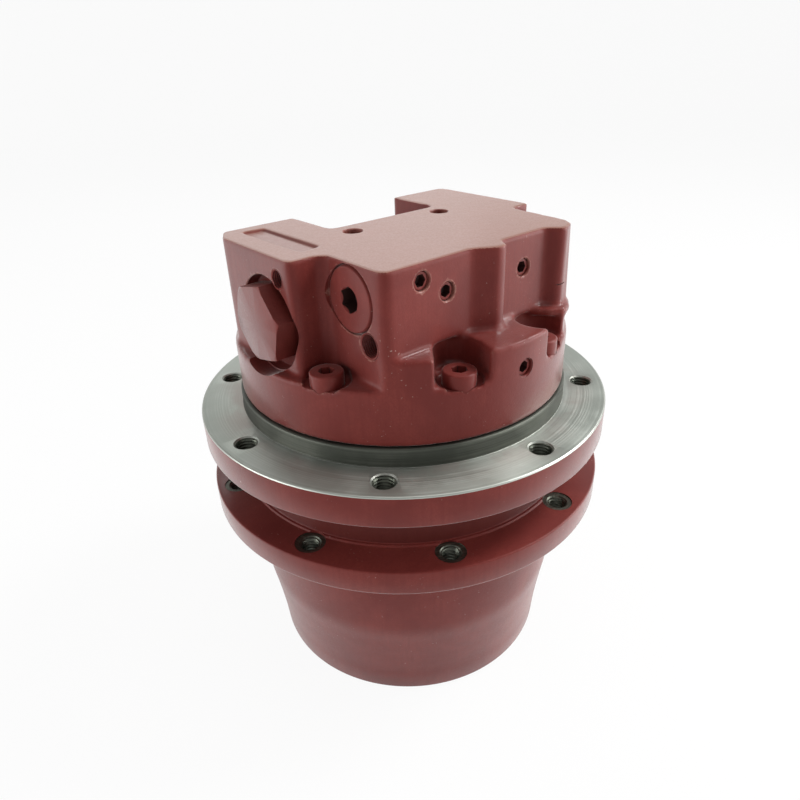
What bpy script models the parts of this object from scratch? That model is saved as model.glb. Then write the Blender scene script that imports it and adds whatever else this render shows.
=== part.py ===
"""Travel drive of a small excavator, modelled piece by piece.

A stationary spindle carries the track-frame flange, the hydraulic motor and the valve block.
A hub with the sprocket flange turns round the spindle on two angular contact bearings.
Two planetary stages join the motor's shaft to the ring gear in the hub.
Units are metres, +Z is up, and the origin is the centre of the hub's lower end.
"""
import math

import bmesh
import bpy
from mathutils import Matrix, Vector

# Clearance between two pieces that touch, and round a piece that turns or slides
FIT = 0.0003

# Facets of large, middle and small turned pieces
FINE = 36
MIDDLE = 24
COARSE = 16
SMALL = 8

# Facets of pins and of the bores that turn on them
PIN_SIDES = 12

# Heights of the two casings, from the lower end up
SPROCKET_FLANGE_DROP = 0.0335
SPROCKET_FLANGE_THICKNESS = 0.012
LABYRINTH_GAP = 0.002
FRAME_FLANGE_THICKNESS = 0.015
SPIGOT_HEIGHT = 0.0085
BLOCK_BASE_HEIGHT = 0.0247
BLOCK_LEDGE_HEIGHT = 0.0128
BLOCK_CORE_HEIGHT = 0.0485

# Outer radii of the two casings
HUB_WALL = 0.0130
HUB_TAPER = 0.0062
HUB_MIDDLE_TAPER = 0.0035
NECK_STEP = 0.0025
SPROCKET_RIM_WIDTH = 0.0170
SPIGOT_RADIUS = 0.0800
FRAME_RIM_WIDTH = 0.0200
BLOCK_RADIUS = 0.0790
BLOCK_CORE_SETBACK = 0.0014
POST_SETBACK = 0.0025

# Threaded holes in the two flanges, drilled to the thread's core
FRAME_HOLE_COUNT = 8
FRAME_HOLE_SETBACK = 0.0094
SPROCKET_HOLE_COUNT = 9
SPROCKET_HOLE_SETBACK = 0.0068
SPROCKET_HOLE_PHASE = math.radians(162.1)
FLANGE_HOLE_RADIUS = 0.0044
SPOT_FACE_RADIUS = 0.0068
SPOT_FACE_DEPTH = 0.0004

# Bearings between spindle and hub
SPINDLE_WALL = 0.0055
BEARING_SECTION = 0.0170
BEARING_WIDTH = 0.0130
BALL_RADIUS = 0.0048
BALL_COUNT = 12
CAGE_WALL = 0.0022
CAGE_WIDTH = 0.0070
HUB_LAND = 0.0060
HUB_LAND_WALL = 0.0045
UPPER_BEARING_RISE = 0.0115
UPPER_BEARING_DROP = 0.0295
NUT_HEIGHT = 0.0075
NUT_SECTION = 0.0100
NUT_SLOT_COUNT = 4
NUT_SLOT_WIDTH = 0.0060

# Floating seal between spindle and hub
SEAL_SHOULDER = 0.0100
SEAL_RECESS_WIDTH = 0.0122
SEAL_RECESS_DEPTH = 0.0050
SEAL_SLEEVE_WALL = 0.0030
SEAL_FOOT_WALL = 0.0070
SEAL_FOOT_HEIGHT = 0.0030
SEAL_RING_HEIGHT = 0.0075
SEAL_RING_PLAY = 0.0012
SEAL_CUSHION_CORD = 0.0026

# Gears: all of one module, with the teeth of each wheel
MODULE = 0.0020
BACKLASH = 0.0005
RING_TEETH = 60
SUN_ONE_TEETH = 12
SUN_TWO_TEETH = 18
STAGE_ONE_WIDTH = 0.0130
STAGE_TWO_WIDTH = 0.0190
RING_WALL = 0.0050
PLANET_COUNT = 3
PLANET_PHASE = math.radians(90.0)
PIN_RADIUS = 0.0080
BOSS_HEIGHT = 0.0015
BOSS_WALL = 0.0040
CARRIER_HEIGHT = 0.0060
CARRIER_RIM = 0.0110
PIN_PLATE_HEIGHT = 0.0035
STAGE_GAP = 0.0046
STAGE_ONE_Z = 0.0165
SUN_TWO_BORE = 0.0083
SUN_TWO_NECK = 0.0140

# Lower end of the hub
COVER_HEIGHT = 0.0082
COVER_STEP = 0.0013
COVER_SETBACK = 0.0028
COVER_FLOOR = 0.0050
CIRCLIP_HEIGHT = 0.0012
CIRCLIP_REACH = 0.0018
CIRCLIP_WIDTH = 0.0040
CIRCLIP_SWEEP = math.radians(342.0)
COVER_PLUG_RADIUS = 0.0080
COVER_PLUG_SETBACK = 0.0203
COVER_PLUG_COUNT = 2

# Spindle inside
MOTOR_BORE = 0.0445
SPINDLE_FLOOR = 0.0160
PIN_HOLE_DEPTH = 0.0110
SHAFT_BEARING_RADIUS = 0.0150
SHAFT_BEARING_HEIGHT = 0.0075
SHAFT_SEAL_HEIGHT = 0.0035

# Motor
SHAFT_RADIUS = 0.0090
SHAFT_TIP_RADIUS = 0.0060
VALVE_PLATE_HEIGHT = 0.0035
VALVE_PLATE_PLAY = 0.0105
BARREL_PLAY = 0.0120
BARREL_HEIGHT = 0.0365
PISTON_COUNT = 9
PISTON_SETBACK = 0.0095
PISTON_FILL = 0.763
PISTON_LENGTH = 0.0240
SLIPPER_FILL = 0.953
SLIPPER_HEIGHT = 0.0020
SLIPPER_NECK = 0.0040
RETAINER_HEIGHT = 0.0020
RETAINER_PLAY = 0.0135
SWASH_PLAY = 0.0065
SWASH_BORE = 0.0120
SWASH_ANGLE = math.radians(12.0)
SWASH_RELIEF = math.radians(5.5)
SWASH_CENTRE_HEIGHT = 0.0106
SPEED_PISTON_RADIUS = 0.0060
SPEED_PISTON_HEIGHT = 0.0100
SPEED_PISTON_SETBACK = 0.0120

# Valve block outline, seen from above: how far its flat sides are set back from the round base
LEFT_FACE_SETBACK = 0.0075
PLUG_FACE_STEP = 0.0160
RIGHT_FACE_SETBACK = 0.0140
RIGHT_WALL_STEP = 0.0160
RIGHT_WALL_SLOPE = 0.0036
STEP_FACE_DEPTH = 0.0359
FRONT_FACE_SETBACK = 0.0207
BACK_FACE_Y = 0.0400
NOTCH_FLOOR_Y = 0.0088
NOTCH_WIDTH = 0.0608
CORNER = 0.0042
HOLLOW = 0.0050
POST_WIDTH = 0.0160
POST_SLOPE = 0.0062
BEAD_HEIGHT = 0.0038
BEAD_OVERHANG = 0.0012
FRONT_BED = 0.0060
CAST_EDGE = 0.0010
RIB_NOSE_X = 0.0024
RIB_NOSE_WIDTH = 0.0040
RIB_LONG_FLANK = 0.0130
RIB_SHORT_FLANK = 0.0030
RIB_REACH = 0.0061
LEDGE_ONE_LENGTH = 0.0145
LEDGE_TWO_START_X = -0.0163
LEDGE_TWO_END_X = 0.0150
SCREW_BAY_DEPTH = 0.0046
ROUND_BAY_RADIUS = 0.0120
ROUND_BAY_X = 0.0232
ROUND_BAY_DEPTH = 0.0030
POST_UNDERCUT_RISE = 0.0113

# Screws that hold the valve block on the spindle, all on one pitch
SCREW_SETBACK = 0.0072
BLOCK_SCREW_PITCH = math.radians(40.0)
BLOCK_SCREW_PHASE = math.radians(-153.0)
BLOCK_SCREW_PLACES = (0, 1, 2, 3, 5, 6, 7)
SCREW_RADIUS = 0.0040
SCREW_HEAD_RADIUS = 0.0070
SCREW_HEAD_HEIGHT = 0.0080
SCREW_HEAD_SUNK = 0.0042
SCREW_SOCKET_RADIUS = 0.0035
SCREW_SOCKET_DEPTH = 0.0035
SCREW_GRIP = 0.0130
BLOCK_SEAL_SETBACK = 0.0115
BLOCK_SEAL_CORD = 0.0014

# Counterbalance valve, across the block
SPOOL_Y = -0.0020
SPOOL_RISE = 0.0190
SPOOL_RADIUS = 0.0087
SPRING_ROOM = 0.03005
SPOOL_WAIST = 0.0060
CAP_RECESS_RADIUS = 0.0222
CAP_RECESS_DEPTH = 0.0055
CAP_HEX_HEIGHT = 0.0098
CAP_ACROSS_FLATS = 0.0305
CAP_SHANK_RADIUS = 0.0130
CAP_SHANK_LENGTH = 0.0170
CAP_POCKET_RADIUS = 0.0085
SPRING_WIRE = 0.0009
SPRING_RADIUS = 0.0062
SPRING_TURNS = 4

# Two-speed valve, behind the round plug
SPEED_PLUG_Y = -0.0378
SPEED_PLUG_RISE = 0.0333
SPEED_PLUG_RADIUS = 0.0138
SPEED_PLUG_LENGTH = 0.0090
SPEED_PLUG_SOCKET = 0.0058
SPEED_SPOOL_RADIUS = 0.0064
SPEED_SPOOL_LENGTH = 0.0340
SPEED_SPRING_LENGTH = 0.0120

# Small pressure plugs and their holes, each plug at its x and its rise over the base
GAUGE_PLACES = ((-0.0372, 0.0403), (-0.0243, 0.0333), (0.0197, 0.0330), (0.0, 0.0002))
GAUGE_HOLE_RADIUS = 0.0047
GAUGE_HOLE_DEPTH = 0.0100
GAUGE_PLUG_LENGTH = 0.0070
GAUGE_PLUG_SINK = 0.0012
GAUGE_SOCKET_RADIUS = 0.0026

# Open ports and threaded holes in the block
PORT_RADIUS = 0.0095
PORT_SPREAD = 0.0150
DRAIN_RADIUS = 0.0055
DRAIN_DEPTH = 0.0120
PILOT_PORT_RADIUS = 0.0052
PILOT_PORT_DEPTH = 0.0140
PILOT_PORT_Y = -0.0483
PILOT_PORT_RISE = 0.0169
DRAIN_RISE = 0.0383
TOP_HOLE_RADIUS = 0.0043
TOP_HOLE_DEPTH = 0.0140
TOP_HOLE_SPREAD = 0.0253
PLAQUE_DEPTH = 0.0010
PLAQUE_SETBACK = 0.0105
PLAQUE_WIDTH = 0.0104
PLAQUE_FRONT_Y = -0.0125
PLAQUE_LENGTH = 0.0443
SIDE_HOLE_Y = -0.0125
SIDE_HOLE_RISE = 0.0395

# Radii that follow from the driving dimensions, from the motor bore outwards
barrel_radius = MOTOR_BORE - BARREL_PLAY
valve_plate_radius = MOTOR_BORE - VALVE_PLATE_PLAY
retainer_radius = MOTOR_BORE - RETAINER_PLAY
swash_radius = MOTOR_BORE - SWASH_PLAY
speed_piston_circle = swash_radius - SPEED_PISTON_SETBACK
piston_circle = barrel_radius - PISTON_SETBACK
half_piston_pitch = piston_circle * math.sin(math.pi / PISTON_COUNT)
piston_radius = PISTON_FILL * half_piston_pitch
slipper_radius = SLIPPER_FILL * half_piston_pitch
bearing_bore = MOTOR_BORE + SPINDLE_WALL
bearing_radius = bearing_bore + BEARING_SECTION
nut_radius = bearing_bore + NUT_SECTION
cover_radius = bearing_radius + COVER_STEP
cover_plug_circle = cover_radius - COVER_PLUG_SETBACK
block_seal_circle = MOTOR_BORE + BLOCK_SEAL_SETBACK
seal_body_radius = bearing_bore + SEAL_SHOULDER
seal_recess_radius = seal_body_radius + SEAL_RECESS_WIDTH
hub_shoulder_radius = bearing_radius + HUB_WALL
hub_middle_radius = hub_shoulder_radius - HUB_MIDDLE_TAPER
hub_end_radius = hub_shoulder_radius - HUB_TAPER
neck_radius = hub_shoulder_radius + NECK_STEP
sprocket_flange_radius = neck_radius + SPROCKET_RIM_WIDTH
sprocket_hole_circle = neck_radius + SPROCKET_HOLE_SETBACK
frame_flange_radius = SPIGOT_RADIUS + FRAME_RIM_WIDTH
frame_hole_circle = SPIGOT_RADIUS + FRAME_HOLE_SETBACK

# Heights that follow from the driving dimensions, from the lower end upwards
cover_top = COVER_SETBACK + COVER_HEIGHT
ring_gear_z = cover_top + FIT
stage_one_top = STAGE_ONE_Z + STAGE_ONE_WIDTH
carrier_z = stage_one_top + BOSS_HEIGHT + FIT
carrier_top = carrier_z + CARRIER_HEIGHT
pin_plate_z = carrier_top + STAGE_GAP
pin_plate_top = pin_plate_z + PIN_PLATE_HEIGHT
stage_two_z = pin_plate_top + BOSS_HEIGHT + FIT
stage_two_top = stage_two_z + STAGE_TWO_WIDTH
ring_gear_top = stage_two_top + 2 * FIT
spindle_end_z = stage_two_top + BOSS_HEIGHT + FIT
motor_floor_z = spindle_end_z + SPINDLE_FLOOR
upper_bearing_z = motor_floor_z + UPPER_BEARING_RISE
lower_bearing_z = upper_bearing_z - HUB_LAND - BEARING_WIDTH
spindle_shoulder_z = upper_bearing_z + BEARING_WIDTH + FIT
hub_shoulder_z = spindle_shoulder_z + 0.0017
hub_height = upper_bearing_z + UPPER_BEARING_DROP
sprocket_flange_z = hub_height - SPROCKET_FLANGE_DROP
sprocket_flange_top = sprocket_flange_z + SPROCKET_FLANGE_THICKNESS
frame_flange_z = hub_height + LABYRINTH_GAP
frame_face_z = frame_flange_z + FRAME_FLANGE_THICKNESS
spindle_top = frame_face_z + SPIGOT_HEIGHT
block_z = spindle_top + FIT
base_top = block_z + BLOCK_BASE_HEIGHT
ledge_top = base_top + BLOCK_LEDGE_HEIGHT
block_top = base_top + BLOCK_CORE_HEIGHT
barrel_top = spindle_top - VALVE_PLATE_HEIGHT - FIT
barrel_z = barrel_top - BARREL_HEIGHT
swash_pivot_z = motor_floor_z + FIT
slipper_z = (swash_pivot_z + SWASH_CENTRE_HEIGHT
             + (piston_circle + slipper_radius) * math.tan(SWASH_ANGLE) + 2 * FIT)
spool_z = base_top + SPOOL_RISE
speed_z = base_top + SPEED_PLUG_RISE

# Flat sides of the valve block, each set back from its round base
left_face_x = LEFT_FACE_SETBACK - BLOCK_RADIUS
plug_face_x = left_face_x + PLUG_FACE_STEP
right_face_x = BLOCK_RADIUS - RIGHT_FACE_SETBACK
right_wall_x = right_face_x - RIGHT_WALL_STEP
front_face_y = FRONT_FACE_SETBACK - BLOCK_RADIUS
step_face_y = front_face_y + STEP_FACE_DEPTH
post_left_x = right_wall_x - POST_WIDTH
post_radius = BLOCK_RADIUS - POST_SETBACK
block_core_radius = BLOCK_RADIUS - BLOCK_CORE_SETBACK
block_screw_circle = BLOCK_RADIUS - SCREW_SETBACK

# Teeth and centre distances of the planets
planet_one_teeth = (RING_TEETH - SUN_ONE_TEETH) // 2
planet_two_teeth = (RING_TEETH - SUN_TWO_TEETH) // 2
planet_circle_one = MODULE * (RING_TEETH - planet_one_teeth) / 2
planet_circle_two = MODULE * (RING_TEETH - planet_two_teeth) / 2
ring_gear_radius = MODULE * (RING_TEETH / 2 + 1.25) + RING_WALL
ball_circle = (bearing_bore + bearing_radius) / 2


def clear_scene():
    """Remove every object that the file opens with."""
    for item in list(bpy.data.objects):
        bpy.data.objects.remove(item, do_unlink=True)


def material(name, colour, roughness, metallic):
    """Return a plain Principled material."""
    made = bpy.data.materials.new(name)
    made.use_nodes = True
    shader = made.node_tree.nodes["Principled BSDF"]
    shader.inputs["Base Color"].default_value = (*colour, 1.0)
    shader.inputs["Roughness"].default_value = roughness
    shader.inputs["Metallic"].default_value = metallic
    return made


def turned(profile, segments, sweep=math.tau):
    """Turn a closed outline of (radius, height) points round the Z axis."""
    mesh = bmesh.new()
    full = abs(sweep - math.tau) < 1e-9
    stations = segments if full else segments + 1
    poles = {point: mesh.verts.new((0, 0, z)) for point, (r, z) in enumerate(profile) if r == 0}
    rings = []
    for station in range(stations):
        angle = sweep * station / segments
        rings.append([poles[point] if point in poles else
                      mesh.verts.new((r * math.cos(angle), r * math.sin(angle), z))
                      for point, (r, z) in enumerate(profile)])
    for station in range(segments):
        near = rings[station]
        far = rings[(station + 1) % stations]
        for point in range(len(profile)):
            following = (point + 1) % len(profile)
            if point in poles and following in poles:
                continue
            corners = (near[point], far[point], far[following], near[following])
            mesh.faces.new(tuple(dict.fromkeys(corners)))
    if not full:
        mesh.faces.new(rings[0])
        mesh.faces.new(rings[-1])
    bmesh.ops.recalc_face_normals(mesh, faces=mesh.faces)
    return mesh


def ring(inner, outer, low, high, segments):
    """A plain washer, or a disc where the inner radius is nothing."""
    return turned([(inner, low), (outer, low), (outer, high), (inner, high)], segments)


def prism(outline, low, high):
    """Raise a closed outline of (x, y) points into a prism."""
    mesh = bmesh.new()
    floor = mesh.faces.new([mesh.verts.new((x, y, low)) for x, y in outline])
    raised = bmesh.ops.extrude_face_region(mesh, geom=[floor])
    tops = [item for item in raised["geom"] if isinstance(item, bmesh.types.BMVert)]
    bmesh.ops.translate(mesh, verts=tops, vec=(0, 0, high - low))
    bmesh.ops.recalc_face_normals(mesh, faces=mesh.faces)
    return mesh


def box(low, high):
    """A box between two opposite corners."""
    outline = [(low[0], low[1]), (high[0], low[1]), (high[0], high[1]), (low[0], high[1])]
    return prism(outline, low[2], high[2])


def torus(circle, cord, height, segments, sides=8):
    """A round seal cord laid in a circle."""
    steps = [math.tau * side / sides for side in range(sides)]
    return turned([(circle + cord * math.cos(a), height + cord * math.sin(a)) for a in steps], segments)


def polygon(radius, sides, turn=0.0):
    """Corners of a regular outline."""
    steps = [turn + math.tau * side / sides for side in range(sides)]
    return [(radius * math.cos(a), radius * math.sin(a)) for a in steps]


def rounded(corners, steps=3):
    """Round the corners of an outline of (x, y, radius) points, either way."""
    outline = []
    for index, (x, y, radius) in enumerate(corners):
        here = Vector((x, y))
        before = Vector(corners[index - 1][:2]) - here
        after = Vector(corners[(index + 1) % len(corners)][:2]) - here
        if radius == 0:
            outline.append((x, y))
            continue
        half = before.angle(after) / 2
        reach = min(radius / math.tan(half), 0.45 * before.length, 0.45 * after.length)
        centre = here + (before.normalized() + after.normalized()).normalized() * (reach / math.cos(half))
        start = here + before.normalized() * reach - centre
        turn = (here + after.normalized() * reach - centre).angle_signed(start)
        for step in range(steps + 1):
            spoke = start.copy()
            spoke.rotate(Matrix.Rotation(turn * step / steps, 2))
            outline.append(tuple(centre + spoke))
    return outline


def placed(mesh, matrix):
    """Move a mesh by a matrix and return it."""
    bmesh.ops.transform(mesh, matrix=matrix, verts=mesh.verts)
    return mesh


def shifted(mesh, x=0.0, y=0.0, z=0.0):
    """Slide a mesh and return it."""
    return placed(mesh, Matrix.Translation((x, y, z)))


def along_x(mesh):
    """Lay a mesh that stands on Z down so that its top points to +X."""
    return placed(mesh, Matrix.Rotation(math.pi / 2, 4, "Y"))


def along_y(mesh):
    """Lay a mesh that stands on Z down so that its top points to -Y."""
    return placed(mesh, Matrix.Rotation(math.pi / 2, 4, "X"))


def gathered(meshes):
    """Put several meshes into one, as separate bodies."""
    whole = bmesh.new()
    for part in meshes:
        data = bpy.data.meshes.new("part")
        part.to_mesh(data)
        part.free()
        whole.from_mesh(data)
        bpy.data.meshes.remove(data)
    return whole


def round_pattern(make, count, circle, phase=0.0):
    """Repeat a mesh on a circle round the Z axis."""
    angles = [phase + math.tau * index / count for index in range(count)]
    return gathered([at_angle(make(), circle, angle) for angle in angles])


def at_angle(mesh, circle, angle):
    """Turn a mesh that stands on the axis and carry it out to a circle."""
    turn = Matrix.Rotation(angle, 4, "Z")
    return placed(mesh, turn @ Matrix.Translation((circle, 0, 0)))


def add_piece(name, mesh, finish, parent=None, crease=35.0):
    """Make a named object. With a parent, its mesh is measured from that empty."""
    data = bpy.data.meshes.new(name)
    if parent is not None:
        place = parent.matrix_world.translation
        bmesh.ops.translate(mesh, verts=mesh.verts, vec=-place)
    mesh.to_mesh(data)
    mesh.free()
    data.materials.append(finish)
    data.shade_smooth()
    data.set_sharp_from_angle(angle=math.radians(crease))
    piece = bpy.data.objects.new(name, data)
    bpy.context.scene.collection.objects.link(piece)
    piece.parent = parent
    return piece


def axis(name, x=0.0, y=0.0, z=0.0):
    """An empty on the axis of a joint."""
    empty = bpy.data.objects.new(name, None)
    empty.location = (x, y, z)
    bpy.context.scene.collection.objects.link(empty)
    bpy.context.view_layer.update()
    return empty


def cut(piece, meshes, operation="DIFFERENCE", solver="EXACT"):
    """Cut meshes out of a piece, or join them to it, with hidden tools."""
    for index, mesh in enumerate(meshes):
        tool = add_piece(f"{piece.name}_tool_{len(piece.modifiers)}_{index}", mesh, steel, piece.parent)
        tool.hide_render = True
        tool.display_type = "WIRE"
        change = piece.modifiers.new(f"{operation.title()} {index}", "BOOLEAN")
        change.operation = operation
        change.solver = solver
        change.object = tool
    return piece


def gear_outline(teeth, inner=False, tooth_at=0.0):
    """Outline of a spur gear with a tooth (or, inside a ring, a space) at one angle."""
    pitch = MODULE * teeth / 2
    tip = pitch + MODULE * (1.25 if inner else 1.0)
    root = pitch - MODULE * (1.0 if inner else 1.25)
    slack = (BACKLASH if inner else -BACKLASH) / 2
    half_pitch = (math.pi * MODULE / 2 + slack) / 2 / pitch
    pressure = math.radians(20.0)
    base = pitch * math.cos(pressure)
    offset = math.tan(pressure) - pressure

    def half_width(radius):
        wrap = math.acos(min(1.0, base / radius))
        return max(half_pitch + offset - (math.tan(wrap) - wrap), 0.15 * half_pitch)

    outline = []
    for tooth in range(teeth):
        middle = tooth_at + math.tau * tooth / teeth
        for radius, side in ((root, -1), (tip, -1), (tip, 1), (root, 1)):
            angle = middle + side * half_width(radius)
            outline.append((radius * math.cos(angle), radius * math.sin(angle)))
    return outline


def gear(teeth, bore, low, high, tooth_at=0.0, boss=0.0):
    """A spur gear with a plain bore and, where asked, a raised boss on both faces."""
    teeth_line = gear_outline(teeth, tooth_at=tooth_at)
    hole = polygon(bore, PIN_SIDES)
    if boss == 0:
        return stacked([(teeth_line, low), (teeth_line, high), (hole, high), (hole, low)])
    rim = polygon(bore + BOSS_WALL, COARSE)
    return stacked([(teeth_line, low), (teeth_line, high), (rim, high), (rim, high + boss),
                    (hole, high + boss), (hole, low - boss), (rim, low - boss), (rim, low)])


def stacked(levels):
    """Close a solid through a ring of (outline, height) loops.

    A wall joins two loops that share one outline, and a flat face joins two of one height.
    """
    mesh = bmesh.new()
    loops = []
    for outline, height in levels:
        corners = [mesh.verts.new((x, y, height)) for x, y in outline]
        edges = [mesh.edges.new((corners[i - 1], corners[i])) for i in range(len(corners))]
        loops.append((outline, corners, edges))
    for near, far in zip(loops, loops[1:] + loops[:1]):
        if near[0] is far[0]:
            for i in range(len(near[1])):
                mesh.faces.new((near[1][i - 1], near[1][i], far[1][i], far[1][i - 1]))
        else:
            bmesh.ops.triangle_fill(mesh, edges=near[2] + far[2], use_beauty=True)
    bmesh.ops.recalc_face_normals(mesh, faces=mesh.faces)
    return mesh


def hexagon(across_flats, low, high, turn=0.0):
    """A hexagonal bar."""
    return prism(polygon(across_flats / math.sqrt(3), 6, turn), low, high)


def socket_screw(head, shank, head_height, length, socket, socket_depth):
    """A cap screw, standing with the top of its head at height nothing."""
    mesh = turned([(0, -socket_depth), (socket, -socket_depth), (socket, 0), (head * 0.93, 0),
                   (head, -head * 0.07), (head, -head_height), (shank, -head_height),
                   (shank, -length), (0, -length)], SMALL)
    return mesh


def plug(radius, length, socket, socket_depth, segments=SMALL):
    """A flush threaded plug with a socket, its face at height nothing."""
    return turned([(0, -socket_depth), (socket, -socket_depth), (socket, 0), (radius, 0),
                   (radius, -length), (0, -length)], segments)


clear_scene()
steel = material("machined_steel", (0.42, 0.44, 0.42), 0.38, 1.0)
paint = material("red_oxide_paint", (0.27, 0.085, 0.065), 0.62, 0.0)
dark_steel = material("dark_steel", (0.20, 0.20, 0.19), 0.45, 1.0)
gear_steel = material("gear_steel", (0.33, 0.34, 0.35), 0.35, 1.0)
bronze = material("bronze", (0.55, 0.36, 0.16), 0.40, 1.0)
rubber = material("seal_rubber", (0.02, 0.02, 0.02), 0.70, 0.0)


def hub_profile():
    """Section of the hub, from its lower rim up the outside and down the inside."""
    bottom_edge = 0.0020
    neck_fillet = 0.0018
    under_fillet = 0.0050
    bore = bearing_radius + FIT
    land = bearing_radius - HUB_LAND_WALL
    seat = ring_gear_radius + FIT
    groove_top = COVER_SETBACK - FIT
    groove = cover_radius + CIRCLIP_REACH + FIT
    return [
        (hub_end_radius - bottom_edge, 0),
        (hub_end_radius, bottom_edge),
        (hub_middle_radius, 0.3 * sprocket_flange_z),
        (hub_shoulder_radius, 0.5 * sprocket_flange_z),
        (hub_shoulder_radius + 0.0015, sprocket_flange_z - under_fillet),
        (hub_shoulder_radius + under_fillet, sprocket_flange_z),
        (sprocket_flange_radius, sprocket_flange_z),
        (sprocket_flange_radius, sprocket_flange_top),
        (neck_radius + neck_fillet, sprocket_flange_top),
        (neck_radius, sprocket_flange_top + neck_fillet),
        (neck_radius, hub_height),
        (seal_recess_radius, hub_height),
        (seal_recess_radius, hub_shoulder_z),
        (bore, hub_shoulder_z),
        (bore, upper_bearing_z - FIT),
        (land, upper_bearing_z - FIT),
        (land, lower_bearing_z + BEARING_WIDTH + FIT),
        (bore, lower_bearing_z + BEARING_WIDTH + FIT),
        (bore, ring_gear_top + FIT),
        (seat, ring_gear_top + FIT),
        (seat, cover_top),
        (cover_radius + FIT, cover_top),
        (cover_radius + FIT, groove_top + FIT),
        (groove, groove_top + FIT),
        (groove, groove_top - CIRCLIP_HEIGHT - FIT),
        (cover_radius + FIT, groove_top - CIRCLIP_HEIGHT - FIT),
        (cover_radius + FIT, 0),
    ]


def build_hub(turning):
    """Hub, ring gear and everything that turns with them."""
    hub = add_piece("hub_housing", turned(hub_profile(), FINE), paint, turning)
    low, high = sprocket_flange_z - 0.001, sprocket_flange_top + 0.001
    cut(hub, [
        round_pattern(lambda: ring(0, FLANGE_HOLE_RADIUS, low, high, SMALL),
                      SPROCKET_HOLE_COUNT, sprocket_hole_circle, SPROCKET_HOLE_PHASE),
        round_pattern(lambda: ring(0, SPOT_FACE_RADIUS, sprocket_flange_top - SPOT_FACE_DEPTH,
                                   sprocket_flange_top + 0.006, SMALL),
                      SPROCKET_HOLE_COUNT, sprocket_hole_circle, SPROCKET_HOLE_PHASE),
    ])
    rim = polygon(ring_gear_radius, FINE)
    teeth = gear_outline(RING_TEETH, inner=True)
    ring_gear = stacked([(rim, ring_gear_z), (rim, ring_gear_top),
                         (teeth, ring_gear_top), (teeth, ring_gear_z)])
    add_piece("ring_gear", ring_gear, gear_steel, turning)


def build_cover(turning):
    """Cover with its plugs, seal and circlip."""
    inner_top = COVER_SETBACK + COVER_FLOOR
    groove_low = COVER_SETBACK + 0.30 * COVER_HEIGHT
    groove_high = groove_low + 0.0026
    cord = (groove_high - groove_low) / 2 - FIT
    groove = cover_radius - 2 * cord - FIT
    rim = cover_radius - 0.0060
    cover = add_piece("end_cover", turned([
        (0, COVER_SETBACK), (cover_radius, COVER_SETBACK), (cover_radius, groove_low),
        (groove, groove_low), (groove, groove_high), (cover_radius, groove_high),
        (cover_radius, cover_top), (rim, cover_top), (rim - 0.0015, inner_top),
        (0, inner_top)], MIDDLE), paint, turning)
    hole = COVER_PLUG_RADIUS + FIT
    cut(cover, [round_pattern(lambda: ring(0, hole, COVER_SETBACK - 0.001, inner_top + 0.001, SMALL),
                              COVER_PLUG_COUNT, cover_plug_circle, math.radians(90))])

    def cover_plug():
        turn = Matrix.Rotation(math.pi, 4, "X")
        body = plug(COVER_PLUG_RADIUS, COVER_FLOOR - 0.0004, 0.5 * COVER_PLUG_RADIUS, 0.0030)
        return shifted(placed(body, turn), z=COVER_SETBACK)

    for index in range(COVER_PLUG_COUNT):
        angle = math.radians(90) + math.tau * index / COVER_PLUG_COUNT
        screwed_in = at_angle(cover_plug(), cover_plug_circle, angle)
        add_piece(f"cover_plug_{index + 1}", screwed_in, dark_steel, turning)
    seal = torus(cover_radius - cord, cord, (groove_low + groove_high) / 2, MIDDLE, 5)
    add_piece("cover_seal", seal, rubber, turning)
    top = COVER_SETBACK - FIT
    low = top - CIRCLIP_HEIGHT
    inside, outside = cover_radius - CIRCLIP_WIDTH + CIRCLIP_REACH, cover_radius + CIRCLIP_REACH
    clip = turned([(inside, low), (outside, low), (outside, top), (inside, top)], MIDDLE, CIRCLIP_SWEEP)
    add_piece("cover_circlip", clip, dark_steel, turning)


def race(near, far, low, inward):
    """Bearing ring with its ball track on the side that faces the balls."""
    middle = low + BEARING_WIDTH / 2
    track = BALL_RADIUS + 2 * FIT
    side = math.sqrt(track ** 2 - (ball_circle - far) ** 2)
    sign = -1 if inward else 1
    bed = [(ball_circle - sign * track * math.cos(a), middle + track * math.sin(a))
           for a in [math.asin(side / track) * step for step in (-1, -0.5, 0, 0.5, 1)]]
    return [(near, low), (far, low)] + bed + [(far, low + BEARING_WIDTH), (near, low + BEARING_WIDTH)]


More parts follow.
